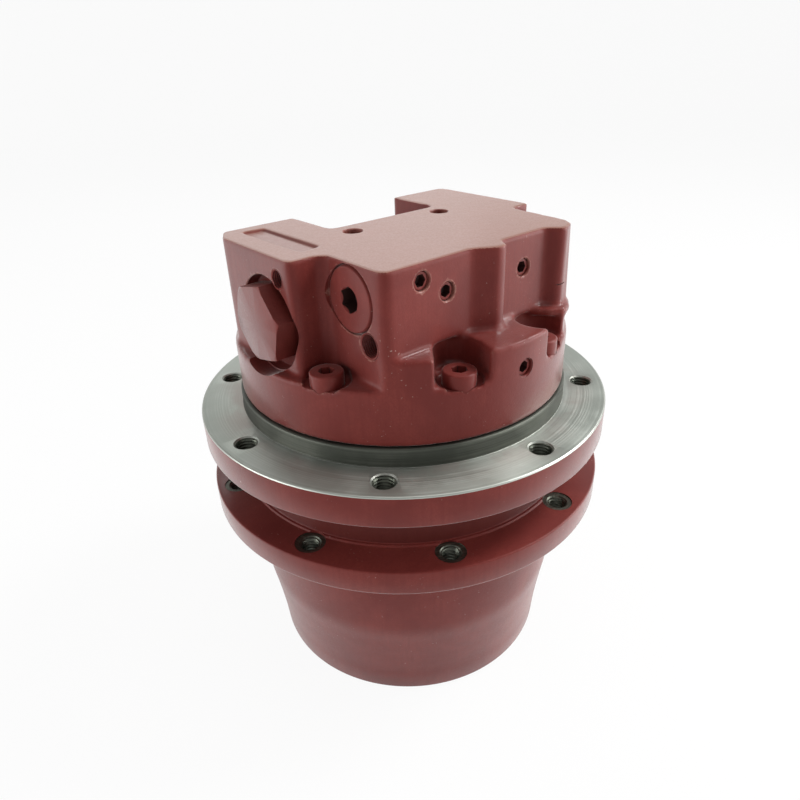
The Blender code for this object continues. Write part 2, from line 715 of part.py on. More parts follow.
def build_bearings(turning, rolling):
    """Two ball bearings, each with a fixed inner and a turning outer ring, and the nut."""
    wall = 0.36 * (bearing_radius - bearing_bore)
    for name, low in (("upper", upper_bearing_z), ("lower", lower_bearing_z)):
        inner = turned(race(bearing_bore, bearing_bore + wall, low, False), FINE)
        add_piece(f"{name}_bearing_inner_ring", inner, steel)
        outer = turned(race(bearing_radius, bearing_radius - wall, low, True), FINE)
        add_piece(f"{name}_bearing_outer_ring", outer, steel, turning)

        def ball():
            mesh = bmesh.new()
            bmesh.ops.create_uvsphere(mesh, u_segments=6, v_segments=4, radius=BALL_RADIUS)
            return shifted(mesh, z=low + BEARING_WIDTH / 2)

        middle = low + BEARING_WIDTH / 2
        cage = ring(ball_circle - CAGE_WALL / 2, ball_circle + CAGE_WALL / 2, middle - CAGE_WIDTH / 2,
                    middle + CAGE_WIDTH / 2, MIDDLE)
        caged = add_piece(f"{name}_bearing_balls", cage, steel, rolling)
        cut(caged, [round_pattern(ball, BALL_COUNT, ball_circle)], "UNION")
    nut_top = lower_bearing_z - FIT
    nut = add_piece("bearing_nut", ring(bearing_bore, nut_radius, nut_top - NUT_HEIGHT, nut_top, FINE),
                    dark_steel)
    slot = NUT_SLOT_WIDTH / 2
    low = nut_top - NUT_HEIGHT
    cut(nut, [round_pattern(lambda: box((-slot, -slot, low - 0.001), (slot, slot, nut_top + 0.001)),
                            NUT_SLOT_COUNT, nut_radius)])


def seal_ring(face, direction):
    """Metal ring of the floating seal, running away from its sealing face."""
    inner = seal_body_radius + SEAL_RING_PLAY
    sleeve = inner + SEAL_SLEEVE_WALL
    foot = inner + SEAL_FOOT_WALL
    shoulder = face + SEAL_FOOT_HEIGHT * direction
    taper = face + 1.4 * SEAL_FOOT_HEIGHT * direction
    tail = face + SEAL_RING_HEIGHT * direction
    section = [(inner, face), (foot, face), (foot, shoulder), (sleeve, taper), (sleeve, tail), (inner, tail)]
    return turned(section, MIDDLE)


def build_floating_seal(turning):
    """Two metal rings face to face, each pressed by a rubber ring."""
    low = hub_shoulder_z + FIT
    high = frame_flange_z + SEAL_RECESS_DEPTH - FIT
    face = (low + high) / 2
    circle = seal_recess_radius - SEAL_CUSHION_CORD - FIT
    add_piece("fixed_seal_ring", seal_ring(face + FIT / 2, 1), steel)
    add_piece("turning_seal_ring", seal_ring(face - FIT / 2, -1), steel, turning)
    for name, side, parent in (("fixed", 1, None), ("turning", -1, turning)):
        height = face + side * SEAL_RING_HEIGHT
        add_piece(f"{name}_seal_cushion", torus(circle, SEAL_CUSHION_CORD, height, MIDDLE, 5), rubber, parent)


def spindle_profile():
    """Section of the spindle, down the outside from the top and up through the motor bore."""
    journal = bearing_bore - FIT
    floor_hole = SHAFT_RADIUS + 2 * FIT
    pocket = SHAFT_BEARING_RADIUS + FIT
    pocket_floor = motor_floor_z - SHAFT_BEARING_HEIGHT - SHAFT_SEAL_HEIGHT - 2 * FIT
    edge = 0.0008
    return [
        (SPIGOT_RADIUS - edge, spindle_top),
        (SPIGOT_RADIUS, spindle_top - edge),
        (SPIGOT_RADIUS, frame_face_z),
        (frame_flange_radius, frame_face_z),
        (frame_flange_radius, frame_flange_z),
        (seal_recess_radius, frame_flange_z),
        (seal_recess_radius, frame_flange_z + SEAL_RECESS_DEPTH),
        (seal_body_radius, frame_flange_z + SEAL_RECESS_DEPTH),
        (seal_body_radius, spindle_shoulder_z),
        (journal, spindle_shoulder_z),
        (journal, spindle_end_z),
        (floor_hole, spindle_end_z),
        (floor_hole, pocket_floor),
        (pocket, pocket_floor),
        (pocket, motor_floor_z),
        (MOTOR_BORE, motor_floor_z),
        (MOTOR_BORE, spindle_top),
    ]


def block_screw_angles():
    """Directions of the block screws from the axis."""
    return [BLOCK_SCREW_PHASE + BLOCK_SCREW_PITCH * place for place in BLOCK_SCREW_PLACES]


def block_screw_pattern(make):
    """Repeat a mesh at the places of the block screws."""
    return gathered([at_angle(make(), block_screw_circle, angle) for angle in block_screw_angles()])


def build_spindle():
    """Spindle with the frame flange, its holes and the bore of the speed piston."""
    spindle = add_piece("spindle_housing", turned(spindle_profile(), FINE), steel)
    thread_floor = spindle_top - SCREW_GRIP - 0.001
    seal_floor = spindle_top - 2 * BLOCK_SEAL_CORD + FIT
    seal_half = BLOCK_SEAL_CORD + FIT
    cut(spindle, [
        round_pattern(lambda: ring(0, FLANGE_HOLE_RADIUS, frame_flange_z - 0.001, frame_face_z + 0.001,
                                   SMALL),
                      FRAME_HOLE_COUNT, frame_hole_circle),
        block_screw_pattern(lambda: ring(0, SCREW_RADIUS + FIT, thread_floor, spindle_top + 0.001, SMALL)),
        ring(block_seal_circle - seal_half, block_seal_circle + seal_half, seal_floor,
             spindle_top + 0.001, MIDDLE),
        round_pattern(lambda: ring(0, PIN_RADIUS + FIT, spindle_end_z - 0.001,
                                   spindle_end_z + PIN_HOLE_DEPTH, PIN_SIDES),
                      PLANET_COUNT, planet_circle_two, PLANET_PHASE),
        at_angle(ring(0, SPEED_PISTON_RADIUS + FIT, motor_floor_z - SPEED_PISTON_HEIGHT - FIT,
                      motor_floor_z + 0.001, SMALL), speed_piston_circle, math.radians(-90)),
    ], solver="MANIFOLD")
    seal = torus(block_seal_circle, BLOCK_SEAL_CORD - FIT / 2, seal_floor + BLOCK_SEAL_CORD, MIDDLE, 5)
    add_piece("block_seal", seal, rubber)


def disc_segment(left, right, back, radius, steps=5):
    """Outline between two x places, from a straight back out to a circle on the -Y side."""
    start = -math.acos(left / radius)
    end = -math.acos(right / radius)
    arc = [start + (end - start) * step / steps for step in range(steps + 1)]
    return [(left, back)] + [(radius * math.cos(a), radius * math.sin(a)) for a in arc] + [(right, back)]


def core_outline():
    """Outline of the upper block, counter-clockwise from the corner of left and step face."""
    notch = NOTCH_WIDTH / 2
    left_back = math.sqrt(block_core_radius ** 2 - left_face_x ** 2)
    back_left = -math.sqrt(block_core_radius ** 2 - BACK_FACE_Y ** 2)
    tip_y = front_face_y - RIB_REACH
    return rounded([
        (left_face_x, step_face_y, CORNER),
        (plug_face_x, step_face_y, HOLLOW),
        (plug_face_x, front_face_y, CORNER),
        (RIB_NOSE_X - RIB_LONG_FLANK, front_face_y, HOLLOW),
        (RIB_NOSE_X - RIB_NOSE_WIDTH, tip_y, CORNER / 2),
        (RIB_NOSE_X, tip_y, CORNER / 2),
        (RIB_NOSE_X + RIB_SHORT_FLANK, front_face_y, HOLLOW / 4),
        (right_wall_x, front_face_y, CORNER / 4),
        (right_wall_x + RIGHT_WALL_SLOPE, step_face_y, HOLLOW / 2),
        (right_face_x, step_face_y, CORNER / 4),
        (right_face_x, BACK_FACE_Y, CORNER),
        (notch, BACK_FACE_Y, CORNER / 4),
        (notch, NOTCH_FLOOR_Y, HOLLOW / 2),
        (-notch, NOTCH_FLOOR_Y, HOLLOW / 2),
        (-notch, BACK_FACE_Y, CORNER / 4),
        (back_left, BACK_FACE_Y, CORNER / 2),
        (left_face_x, left_back, CORNER / 2),
    ])


def post_outline():
    """Outline of the round corner post, bedded in the upper block."""
    bed = front_face_y + FRONT_BED
    foot = post_left_x + POST_SLOPE
    arc_start = -math.acos(foot / post_radius)
    inside = right_wall_x - 2 * FIT
    arc_end = -math.acos(inside / post_radius)
    arc = [arc_start + (arc_end - arc_start) * step / 4 for step in range(5)]
    curve = [(post_radius * math.cos(a), post_radius * math.sin(a)) for a in arc]
    shoulder = (post_left_x + 0.4 * POST_SLOPE, front_face_y - 0.35 * POST_SLOPE)
    return [(post_left_x, bed), (post_left_x, front_face_y), shoulder] + curve + [(inside, bed)]


def gauge_places():
    """Places (x, z) of the small pressure plugs, which all look to the front."""
    return [(x, base_top + rise) for x, rise in GAUGE_PLACES]


def gauge_face(x, z):
    """Depth of the front surface at a plug: the flat front, or the round ledge below it."""
    if z > ledge_top:
        return front_face_y
    return -math.sqrt(BLOCK_RADIUS ** 2 - (abs(x) + GAUGE_HOLE_RADIUS) ** 2)


def facing(mesh, place, way):
    """Turn a mesh whose face lies at height nothing so that it looks out of a side face."""
    turned_out = along_y(mesh) if way == "front" else placed(mesh, Matrix.Rotation(-math.pi / 2, 4, "Y"))
    return placed(turned_out, Matrix.Translation(place))


def build_block():
    """Valve block: a round base, the upper block with its ledges and post, and its bores."""
    inner_edge = BLOCK_RADIUS - CAST_EDGE
    base = turned([(0, block_z), (inner_edge, block_z), (BLOCK_RADIUS, block_z + CAST_EDGE),
                   (BLOCK_RADIUS, base_top - CAST_EDGE), (inner_edge, base_top), (0, base_top)], FINE)
    block = add_piece("valve_block", base, paint)
    bury = 0.0020
    undercut = base_top + POST_UNDERCUT_RISE
    plaque_left_x = left_face_x + PLAQUE_SETBACK
    plaque = [(plaque_left_x, PLAQUE_FRONT_Y), (plaque_left_x + PLAQUE_WIDTH, PLAQUE_FRONT_Y),
              (plaque_left_x + PLAQUE_WIDTH, PLAQUE_FRONT_Y + PLAQUE_LENGTH),
              (plaque_left_x, PLAQUE_FRONT_Y + PLAQUE_LENGTH)]
    bed = front_face_y + FRONT_BED
    rim = BLOCK_RADIUS - CAST_EDGE / 2
    ledge_one = disc_segment(plug_face_x, (plug_face_x + LEDGE_ONE_LENGTH), bed, rim)
    ledge_two = disc_segment(LEDGE_TWO_START_X, LEDGE_TWO_END_X, bed, rim)
    ledge_three = disc_segment(post_left_x, right_wall_x + BEAD_OVERHANG, bed, rim)
    cut(block, [
        prism(core_outline(), base_top - bury, block_top),
        prism(ledge_one, base_top - bury, ledge_top),
        prism(ledge_two, base_top - bury, ledge_top),
        prism(ledge_three, base_top - bury, undercut + 0.0008),
    ], "UNION", "MANIFOLD")
    round_bay_y = front_face_y + ROUND_BAY_DEPTH - ROUND_BAY_RADIUS
    cut(block, [shifted(ring(0, ROUND_BAY_RADIUS, base_top, ledge_top + 0.0005, COARSE),
                        x=ROUND_BAY_X, y=round_bay_y)])
    cut(block, [
        prism(post_outline(), undercut + 0.0004, block_top),
        prism(ledge_three, undercut, undercut + BEAD_HEIGHT),
    ], "UNION", "MANIFOLD")
    bay = (LEDGE_TWO_START_X - (plug_face_x + LEDGE_ONE_LENGTH)) / 2
    bay_x = (LEDGE_TWO_START_X + (plug_face_x + LEDGE_ONE_LENGTH)) / 2
    bay_y = front_face_y + SCREW_BAY_DEPTH - bay
    bay_arc = [(bay_x + bay * math.cos(a), bay_y + bay * math.sin(a))
               for a in [math.pi * step / 8 for step in range(9)]]
    bay_outline = bay_arc + [(bay_x - bay, -0.09), (bay_x + bay, -0.09)]
    sunk = base_top - SCREW_HEAD_SUNK
    reach = 0.03
    shell = 0.012
    cap_bore = CAP_SHANK_RADIUS + FIT
    left_floor = left_face_x + CAP_RECESS_DEPTH
    right_floor = right_face_x - CAP_RECESS_DEPTH
    spool_bore = SPOOL_RADIUS + FIT

    def bore_x(radius, start, end, y, z, segments=COARSE):
        return shifted(along_x(ring(0, radius, start, end, segments)), y=y, z=z)

    speed_floor = plug_face_x + SPEED_PLUG_LENGTH + FIT
    speed_end = speed_floor + SPEED_SPOOL_LENGTH + SPEED_SPRING_LENGTH + 3 * FIT
    cut(block, [
        prism(bay_outline, base_top, ledge_top),
        block_screw_pattern(lambda: ring(0, SCREW_HEAD_RADIUS + 0.0009, sunk, base_top + 0.0005, SMALL)),
        block_screw_pattern(lambda: ring(0, SCREW_RADIUS + FIT, block_z - 0.001, sunk + 0.001, SMALL)),
        bore_x(CAP_RECESS_RADIUS, left_floor - reach, left_floor, SPOOL_Y, spool_z),
        bore_x(CAP_RECESS_RADIUS, right_floor, right_floor + reach, SPOOL_Y, spool_z),
        bore_x(cap_bore, left_floor - 0.001, left_floor + CAP_SHANK_LENGTH + FIT, SPOOL_Y, spool_z),
        bore_x(cap_bore, right_floor - CAP_SHANK_LENGTH - FIT, right_floor + 0.001, SPOOL_Y, spool_z),
        bore_x(spool_bore, left_floor, right_floor, SPOOL_Y, spool_z),
        bore_x(SPEED_PLUG_RADIUS + FIT, plug_face_x - shell, speed_floor, SPEED_PLUG_Y, speed_z),
        bore_x(SPEED_SPOOL_RADIUS + FIT, speed_floor - 0.001, speed_end, SPEED_PLUG_Y, speed_z, SMALL),
        bore_x(PILOT_PORT_RADIUS, plug_face_x - shell, plug_face_x + PILOT_PORT_DEPTH,
               PILOT_PORT_Y, base_top + PILOT_PORT_RISE, SMALL),
        gathered([shifted(along_y(ring(0, PORT_RADIUS, -NOTCH_FLOOR_Y - 0.001, -SPOOL_Y, COARSE)),
                          x=side, z=spool_z) for side in (-PORT_SPREAD, PORT_SPREAD)]),
        shifted(along_y(ring(0, DRAIN_RADIUS, -NOTCH_FLOOR_Y - 0.001, DRAIN_DEPTH - NOTCH_FLOOR_Y, SMALL)),
                z=base_top + DRAIN_RISE),
        gathered([shifted(ring(0, TOP_HOLE_RADIUS, block_top - TOP_HOLE_DEPTH, block_top + 0.001, SMALL),
                          x=side, y=SPOOL_Y) for side in (-TOP_HOLE_SPREAD, TOP_HOLE_SPREAD)]),
        gathered([facing(ring(0, GAUGE_HOLE_RADIUS, -GAUGE_HOLE_DEPTH, shell, SMALL),
                         (x, gauge_face(x, z), z), "front") for x, z in gauge_places()]),
        bore_x(GAUGE_HOLE_RADIUS, left_face_x - shell, left_face_x + GAUGE_HOLE_DEPTH, SIDE_HOLE_Y,
               base_top + SIDE_HOLE_RISE, SMALL),
        prism(plaque, block_top - PLAQUE_DEPTH, block_top + 0.001),
    ], solver="MANIFOLD")


def build_block_fasteners():
    """Cap screws and small plugs of the block."""
    head_top = base_top - SCREW_HEAD_SUNK + FIT + SCREW_HEAD_HEIGHT
    length = head_top - spindle_top + SCREW_GRIP
    for index, angle in enumerate(block_screw_angles()):
        screw = shifted(socket_screw(SCREW_HEAD_RADIUS, SCREW_RADIUS, SCREW_HEAD_HEIGHT, length,
                                     SCREW_SOCKET_RADIUS, SCREW_SOCKET_DEPTH), z=head_top)
        add_piece(f"block_screw_{index + 1}", at_angle(screw, block_screw_circle, angle), dark_steel)
    for index, (x, z) in enumerate(gauge_places()):
        body = plug(GAUGE_HOLE_RADIUS - FIT, GAUGE_PLUG_LENGTH, GAUGE_SOCKET_RADIUS, 0.0030)
        body = facing(shifted(body, z=-GAUGE_PLUG_SINK), (x, gauge_face(x, z), z), "front")
        add_piece(f"gauge_plug_{index + 1}", body, dark_steel)


def spring(length, radius):
    """Coil spring along X, from the origin to its length."""
    sides = 4
    steps = 7 * SPRING_TURNS
    rise = length - 2 * SPRING_WIRE
    mesh = bmesh.new()
    rings = []
    for step in range(steps + 1):
        angle = math.tau * SPRING_TURNS * step / steps
        out = Vector((0, math.cos(angle), math.sin(angle)))
        along = Vector((1, 0, 0))
        centre = (SPRING_WIRE + rise * step / steps) * along + radius * out
        rings.append([mesh.verts.new(centre + SPRING_WIRE * (math.cos(b) * out + math.sin(b) * along))
                      for b in [math.tau * side / sides for side in range(sides)]])
    for near, far in zip(rings, rings[1:]):
        for side in range(sides):
            after = (side + 1) % sides
            mesh.faces.new((near[side], far[side], far[after], near[after]))
    mesh.faces.new(rings[0])
    mesh.faces.new(rings[-1])
    bmesh.ops.recalc_face_normals(mesh, faces=mesh.faces)
    return mesh


def cap(length):
    """Hexagon cap with a hollow shank, its head's seat at x nothing and its head towards -X."""
    shank = turned([(CAP_SHANK_RADIUS, -0.001), (CAP_SHANK_RADIUS, length), (CAP_POCKET_RADIUS, length),
                    (CAP_POCKET_RADIUS, 0.001), (0, 0.001), (0, -0.001)], COARSE)
    return along_x(shank)


def build_counterbalance(sliding):
    """Counterbalance spool across the block, with a spring and a hexagon cap at each end."""
    left_seat = left_face_x + CAP_RECESS_DEPTH - FIT
    right_seat = right_face_x - CAP_RECESS_DEPTH + FIT
    middle = (left_seat + right_seat) / 2
    gap = SPRING_ROOM - FIT
    length = right_seat - left_seat - 2 * SPRING_ROOM
    mirror = Matrix.Rotation(math.pi, 4, "Z")
    for name, seat, flip in (("left", left_seat, False), ("right", right_seat, True)):
        head = placed(hexagon(CAP_ACROSS_FLATS, -CAP_HEX_HEIGHT, 0, math.radians(30)),
                      Matrix.Rotation(math.pi / 2, 4, "Y"))
        coil = shifted(spring(gap - 0.001 - FIT, SPRING_RADIUS), x=0.001 + FIT)
        shank = cap(CAP_SHANK_LENGTH)
        for mesh in (head, shank, coil):
            if flip:
                placed(mesh, mirror)
            shifted(mesh, x=seat, y=SPOOL_Y, z=spool_z)
        body = add_piece(f"counterbalance_cap_{name}", head, paint)
        cut(body, [shank], "UNION")
        add_piece(f"counterbalance_spring_{name}", coil, steel)
    land = 0.0110
    neck = 0.0130
    half = length / 2
    points = [(0, -half), (SPOOL_RADIUS, -half)]
    for start in (-half + land, half - land - neck):
        end = start + neck
        points += [(SPOOL_RADIUS, start), (SPOOL_WAIST, start), (SPOOL_WAIST, end), (SPOOL_RADIUS, end)]
    points += [(SPOOL_RADIUS, half), (0, half)]
    body = shifted(along_x(turned(points, SMALL * 2)), x=middle, y=SPOOL_Y, z=spool_z)
    add_piece("counterbalance_spool", body, steel, sliding)


def build_two_speed(sliding):
    """Round plug, spool and spring of the two-speed valve."""
    floor = plug_face_x + SPEED_PLUG_LENGTH
    body = plug(SPEED_PLUG_RADIUS, SPEED_PLUG_LENGTH, SPEED_PLUG_SOCKET, 0.0055, COARSE)
    place = (plug_face_x, SPEED_PLUG_Y, speed_z)
    add_piece("two_speed_plug", facing(body, place, "left"), paint)
    start = floor + 2 * FIT
    end = start + SPEED_SPOOL_LENGTH
    waist = 0.65 * SPEED_SPOOL_RADIUS
    third = SPEED_SPOOL_LENGTH / 3
    spool = along_x(turned([(0, start), (SPEED_SPOOL_RADIUS, start), (SPEED_SPOOL_RADIUS, start + third),
                            (waist, start + third), (waist, start + 2 * third),
                            (SPEED_SPOOL_RADIUS, start + 2 * third), (SPEED_SPOOL_RADIUS, end),
                            (0, end)], SMALL))
    add_piece("two_speed_spool", shifted(spool, y=SPEED_PLUG_Y, z=speed_z), steel, sliding)
    coil = shifted(spring(SPEED_SPRING_LENGTH, SPEED_SPOOL_RADIUS - SPRING_WIRE - 0.0005),
                   x=end + FIT, y=SPEED_PLUG_Y, z=speed_z)
    add_piece("two_speed_spring", coil, steel)


def build_shaft_supports():
    """Valve plate, shaft bearing and shaft seal, all fixed in the spindle."""
    top = spindle_top
    bore = SHAFT_RADIUS + FIT
    plate = ring(bore + 0.002, valve_plate_radius, top - VALVE_PLATE_HEIGHT, top, COARSE)
    add_piece("valve_plate", plate, bronze)
    bearing_top = motor_floor_z - FIT
    bearing_low = bearing_top - SHAFT_BEARING_HEIGHT + FIT
    add_piece("shaft_bearing", ring(bore, SHAFT_BEARING_RADIUS, bearing_low, bearing_top, COARSE), steel)
    seal_top = bearing_low - FIT
    seal = ring(bore, SHAFT_BEARING_RADIUS, seal_top - SHAFT_SEAL_HEIGHT, seal_top, COARSE)
    add_piece("shaft_seal", seal, rubber)


def build_motor(turning):
    """Cylinder barrel, pistons with their retainer, and shaft with the first sun gear."""
    shaft_end = COVER_SETBACK + COVER_FLOOR + 0.0020
    shaft_step = spindle_end_z - 0.0030
    shaft_top = spindle_top - 2 * FIT
    shaft = turned([(0, shaft_end), (SHAFT_TIP_RADIUS, shaft_end), (SHAFT_TIP_RADIUS, shaft_step),
                    (SHAFT_RADIUS, shaft_step + 0.003), (SHAFT_RADIUS, shaft_top), (0, shaft_top)], COARSE)
    add_piece("drive_shaft", shaft, steel, turning)
    sun = gear(SUN_ONE_TEETH, SHAFT_TIP_RADIUS + FIT, STAGE_ONE_Z, stage_one_top, math.pi / SUN_ONE_TEETH)
    add_piece("sun_gear_one", sun, gear_steel, turning)
    drum = ring(SHAFT_RADIUS + FIT, barrel_radius, barrel_z, barrel_top, MIDDLE)
    barrel = add_piece("cylinder_barrel", drum, steel, turning)
    bore_top = barrel_top - 0.006
    cut(barrel, [round_pattern(lambda: ring(0, piston_radius + FIT, barrel_z - 0.001, bore_top, SMALL),
                               PISTON_COUNT, piston_circle)])
    neck_top = barrel_z - 0.001
    foot_top = slipper_z + SLIPPER_HEIGHT
    rod_top = neck_top + PISTON_LENGTH

    def piston():
        return turned([(0, slipper_z), (slipper_radius, slipper_z), (slipper_radius, foot_top),
                       (SLIPPER_NECK, foot_top), (SLIPPER_NECK, neck_top - 0.001), (piston_radius, neck_top),
                       (piston_radius, rod_top), (0, rod_top)], SMALL)

    low = foot_top + FIT
    retainer = ring(SHAFT_RADIUS + 0.003, retainer_radius, low, low + RETAINER_HEIGHT, MIDDLE)
    held = add_piece("pistons_in_retainer", retainer, steel, turning)
    cut(held, [round_pattern(piston, PISTON_COUNT, piston_circle)], "UNION")


def build_swash(tilting, lifting):
    """Swash plate that rocks between its two seats, and the piston that lifts it."""
    high = swash_pivot_z + SWASH_CENTRE_HEIGHT + swash_radius * math.tan(SWASH_ANGLE)
    plate = add_piece("swash_plate", ring(SWASH_BORE, swash_radius, swash_pivot_z, high + 0.002, MIDDLE),
                      steel, tilting)
    span = 2 * swash_radius
    above = placed(box((-span, -span, 0), (span, span, span)),
                   Matrix.Translation((0, 0, swash_pivot_z + SWASH_CENTRE_HEIGHT))
                   @ Matrix.Rotation(SWASH_ANGLE, 4, "X"))
    below = placed(box((-span, 0, -span), (span, span, 0)),
                   Matrix.Translation((0, 0, swash_pivot_z)) @ Matrix.Rotation(SWASH_RELIEF, 4, "X"))
    cut(plate, [above, below], solver="MANIFOLD")
    top = motor_floor_z - FIT
    body = at_angle(ring(0, SPEED_PISTON_RADIUS, top - SPEED_PISTON_HEIGHT + FIT, top, SMALL),
                    speed_piston_circle, math.radians(-90))
    add_piece("two_speed_piston", body, steel, lifting)


def pin_pattern(circle, low, high):
    """The pins of one planet stage."""
    return round_pattern(lambda: ring(0, PIN_RADIUS, low, high, PIN_SIDES), PLANET_COUNT, circle,
                         PLANET_PHASE)


def build_planets(stage, teeth, circle, low, high):
    """The planets of one stage, each on an axis of its own, with a tooth pointing outwards."""
    for index, letter in enumerate("abc"[:PLANET_COUNT]):
        angle = PLANET_PHASE + math.tau * index / PLANET_COUNT
        centre = (circle * math.cos(angle), circle * math.sin(angle))
        spinning = axis(f"axis_planet_{stage}_{letter}", *centre)
        body = gear(teeth, PIN_RADIUS + FIT, low, high, angle, BOSS_HEIGHT)
        add_piece(f"planet_gear_{stage}_{letter}", shifted(body, *centre), gear_steel, spinning)


def build_stage_one(carrying):
    """First planet stage: a carrier with its pins, and the planets that it takes round."""
    rim = planet_circle_one + CARRIER_RIM
    carrier = add_piece("carrier_one", ring(SUN_TWO_NECK + FIT, rim, carrier_z, carrier_top, MIDDLE),
                        gear_steel, carrying)
    pin_low = STAGE_ONE_Z - BOSS_HEIGHT - 0.0005
    cut(carrier, [pin_pattern(planet_circle_one, pin_low, carrier_top - 0.0010)], "UNION")
    build_planets("one", planet_one_teeth, planet_circle_one, STAGE_ONE_Z, stage_one_top)


def build_stage_two(carrying):
    """Second planet stage: its sun turns with the first carrier, its pins stand in the spindle."""
    teeth = gear_outline(SUN_TWO_TEETH, tooth_at=math.radians(90))
    neck = polygon(SUN_TWO_NECK, COARSE)
    bore = polygon(SUN_TWO_BORE, SMALL)
    sun = stacked([(teeth, stage_two_z), (teeth, stage_two_top), (bore, stage_two_top), (bore, carrier_z),
                   (neck, carrier_z), (neck, stage_two_z)])
    add_piece("sun_gear_two", sun, gear_steel, carrying)
    plate_low = pin_plate_top - PIN_PLATE_HEIGHT
    plate = add_piece("pin_plate", ring(SUN_TWO_NECK + 0.004, planet_circle_two + CARRIER_RIM, plate_low,
                                        pin_plate_top, MIDDLE), gear_steel)
    pin_top = spindle_end_z + PIN_HOLE_DEPTH - FIT
    cut(plate, [pin_pattern(planet_circle_two, plate_low + 0.0010, pin_top)], "UNION")
    build_planets("two", planet_two_teeth, planet_circle_two, stage_two_z, stage_two_top)


axis_hub = axis("axis_hub")
axis_balls = axis("axis_balls")
axis_input = axis("axis_input")
axis_carrier = axis("axis_carrier")
axis_swash = axis("axis_swash", z=swash_pivot_z)
axis_lift = axis("axis_two_speed_piston", y=-speed_piston_circle, z=motor_floor_z)
axis_spool = axis("axis_counterbalance_spool", y=SPOOL_Y, z=spool_z)
axis_speed = axis("axis_two_speed_spool", y=SPEED_PLUG_Y, z=speed_z)

build_spindle()
build_block()
build_block_fasteners()
build_counterbalance(axis_spool)
build_two_speed(axis_speed)
build_shaft_supports()
build_hub(axis_hub)
build_cover(axis_hub)
build_bearings(axis_hub, axis_balls)
build_floating_seal(axis_hub)
build_motor(axis_input)
build_swash(axis_swash, axis_lift)
build_stage_one(axis_carrier)
build_stage_two(axis_carrier)
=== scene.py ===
# %% [markdown]
# # A travel drive, dressed for the camera
# The real object is the final drive of a small excavator. A fixed spindle carries a machined flange
# and a painted valve block, and a hub with a second flange turns below it.
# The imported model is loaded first, as a fixed frame: it says where every piece is, in metres.
# Each visible casting is then modelled again on the same sizes with the rounded edges, threads and
# sockets that a plain solid lacks.

# %% Load the frame
import bpy
import math
from mathutils import Matrix, Vector


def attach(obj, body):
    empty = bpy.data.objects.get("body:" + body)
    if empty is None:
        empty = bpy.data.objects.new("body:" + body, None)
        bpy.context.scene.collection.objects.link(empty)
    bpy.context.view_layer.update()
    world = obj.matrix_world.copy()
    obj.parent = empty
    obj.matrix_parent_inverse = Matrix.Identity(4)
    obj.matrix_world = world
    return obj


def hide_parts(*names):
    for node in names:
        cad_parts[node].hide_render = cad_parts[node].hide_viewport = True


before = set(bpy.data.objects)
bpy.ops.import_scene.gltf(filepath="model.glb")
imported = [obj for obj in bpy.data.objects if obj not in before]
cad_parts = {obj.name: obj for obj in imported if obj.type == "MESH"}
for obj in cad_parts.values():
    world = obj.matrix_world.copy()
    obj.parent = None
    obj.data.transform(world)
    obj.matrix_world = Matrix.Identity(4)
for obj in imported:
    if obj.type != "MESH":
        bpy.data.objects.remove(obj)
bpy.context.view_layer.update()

# %% [markdown]
# ## Tools of the trade
# Blender's operators act on whatever is selected, and the loaded nodes are all selected.
# So every step first clears the selection and takes up one piece.

# %% Selecting and finishing
def deselect_all():
    """Leave edit mode and select nothing."""
    if bpy.context.object and bpy.context.object.mode != "OBJECT":
        bpy.ops.object.mode_set(mode="OBJECT")
    bpy.ops.object.select_all(action="DESELECT")


def take(piece):
    """Make one piece the only selected one."""
    deselect_all()
    piece.select_set(True)
    bpy.context.view_layer.objects.active = piece


def settle(piece, name):
    """Put the place of a new piece into its mesh and name it."""
    take(piece)
    bpy.ops.object.transform_apply(location=True, rotation=True, scale=True)
    piece.name = name
    piece.data.name = name
    return piece


def edit_all():
    """Enter edit mode with the whole mesh selected."""
    bpy.ops.object.mode_set(mode="EDIT")
    bpy.ops.mesh.select_all(action="SELECT")


def face_outwards():
    """Turn all faces outwards and leave edit mode."""
    bpy.ops.mesh.select_all(action="SELECT")
    bpy.ops.mesh.normals_make_consistent(inside=False)
    bpy.ops.object.mode_set(mode="OBJECT")


def apply_modifier(piece, kind, **values):
    """Add a modifier with its values and apply it at once."""
    take(piece)
    change = piece.modifiers.new(kind.title(), kind)
    for key, value in values.items():
        setattr(change, key, value)
    bpy.ops.object.modifier_apply(modifier=change.name)


def moved(piece, matrix):
    """Move a mesh by a matrix."""
    piece.data.transform(matrix)
    piece.data.update()
    return piece


def copied(piece, matrix, name):
    """A copy with a mesh of its own, moved by a matrix."""
    twin = piece.copy()
    twin.data = piece.data.copy()
    bpy.context.scene.collection.objects.link(twin)
    twin.name = name
    twin.data.name = name
    return moved(twin, matrix)


def joined(pieces, name):
    """One object out of several."""
    take(pieces[0])
    for piece in pieces[1:]:
        piece.select_set(True)
    bpy.ops.object.join()
    pieces[0].name = name
    return pieces[0]


def thrown_away(piece):
    """Delete a piece that was only a pattern for others."""
    bpy.data.objects.remove(piece, do_unlink=True)


def carve(piece, tool, operation="DIFFERENCE"):
    """Cut a tool out of a piece, or join it on, and throw the tool away."""
    apply_modifier(piece, "BOOLEAN", operation=operation, object=tool, solver="MANIFOLD")
    thrown_away(tool)
    return piece


def smoothed(piece, degrees):
    """Shade a piece smooth, except over edges sharper than an angle."""
    take(piece)
    bpy.ops.object.shade_smooth_by_angle(angle=math.radians(degrees))
    return piece


def count_triangles(piece):
    """Triangles of a piece as it stands."""
    return sum(len(face.vertices) - 2 for face in piece.data.polygons)


print("nodes loaded:", len(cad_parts))

# %% [markdown]
# Two shapes do most of the work: a raised outline for what is cast or milled from above, and a turned
# profile for what comes off a lathe. Both start as a ring of points from a circle primitive.
# Corners are rounded in the outline itself, which keeps them even.

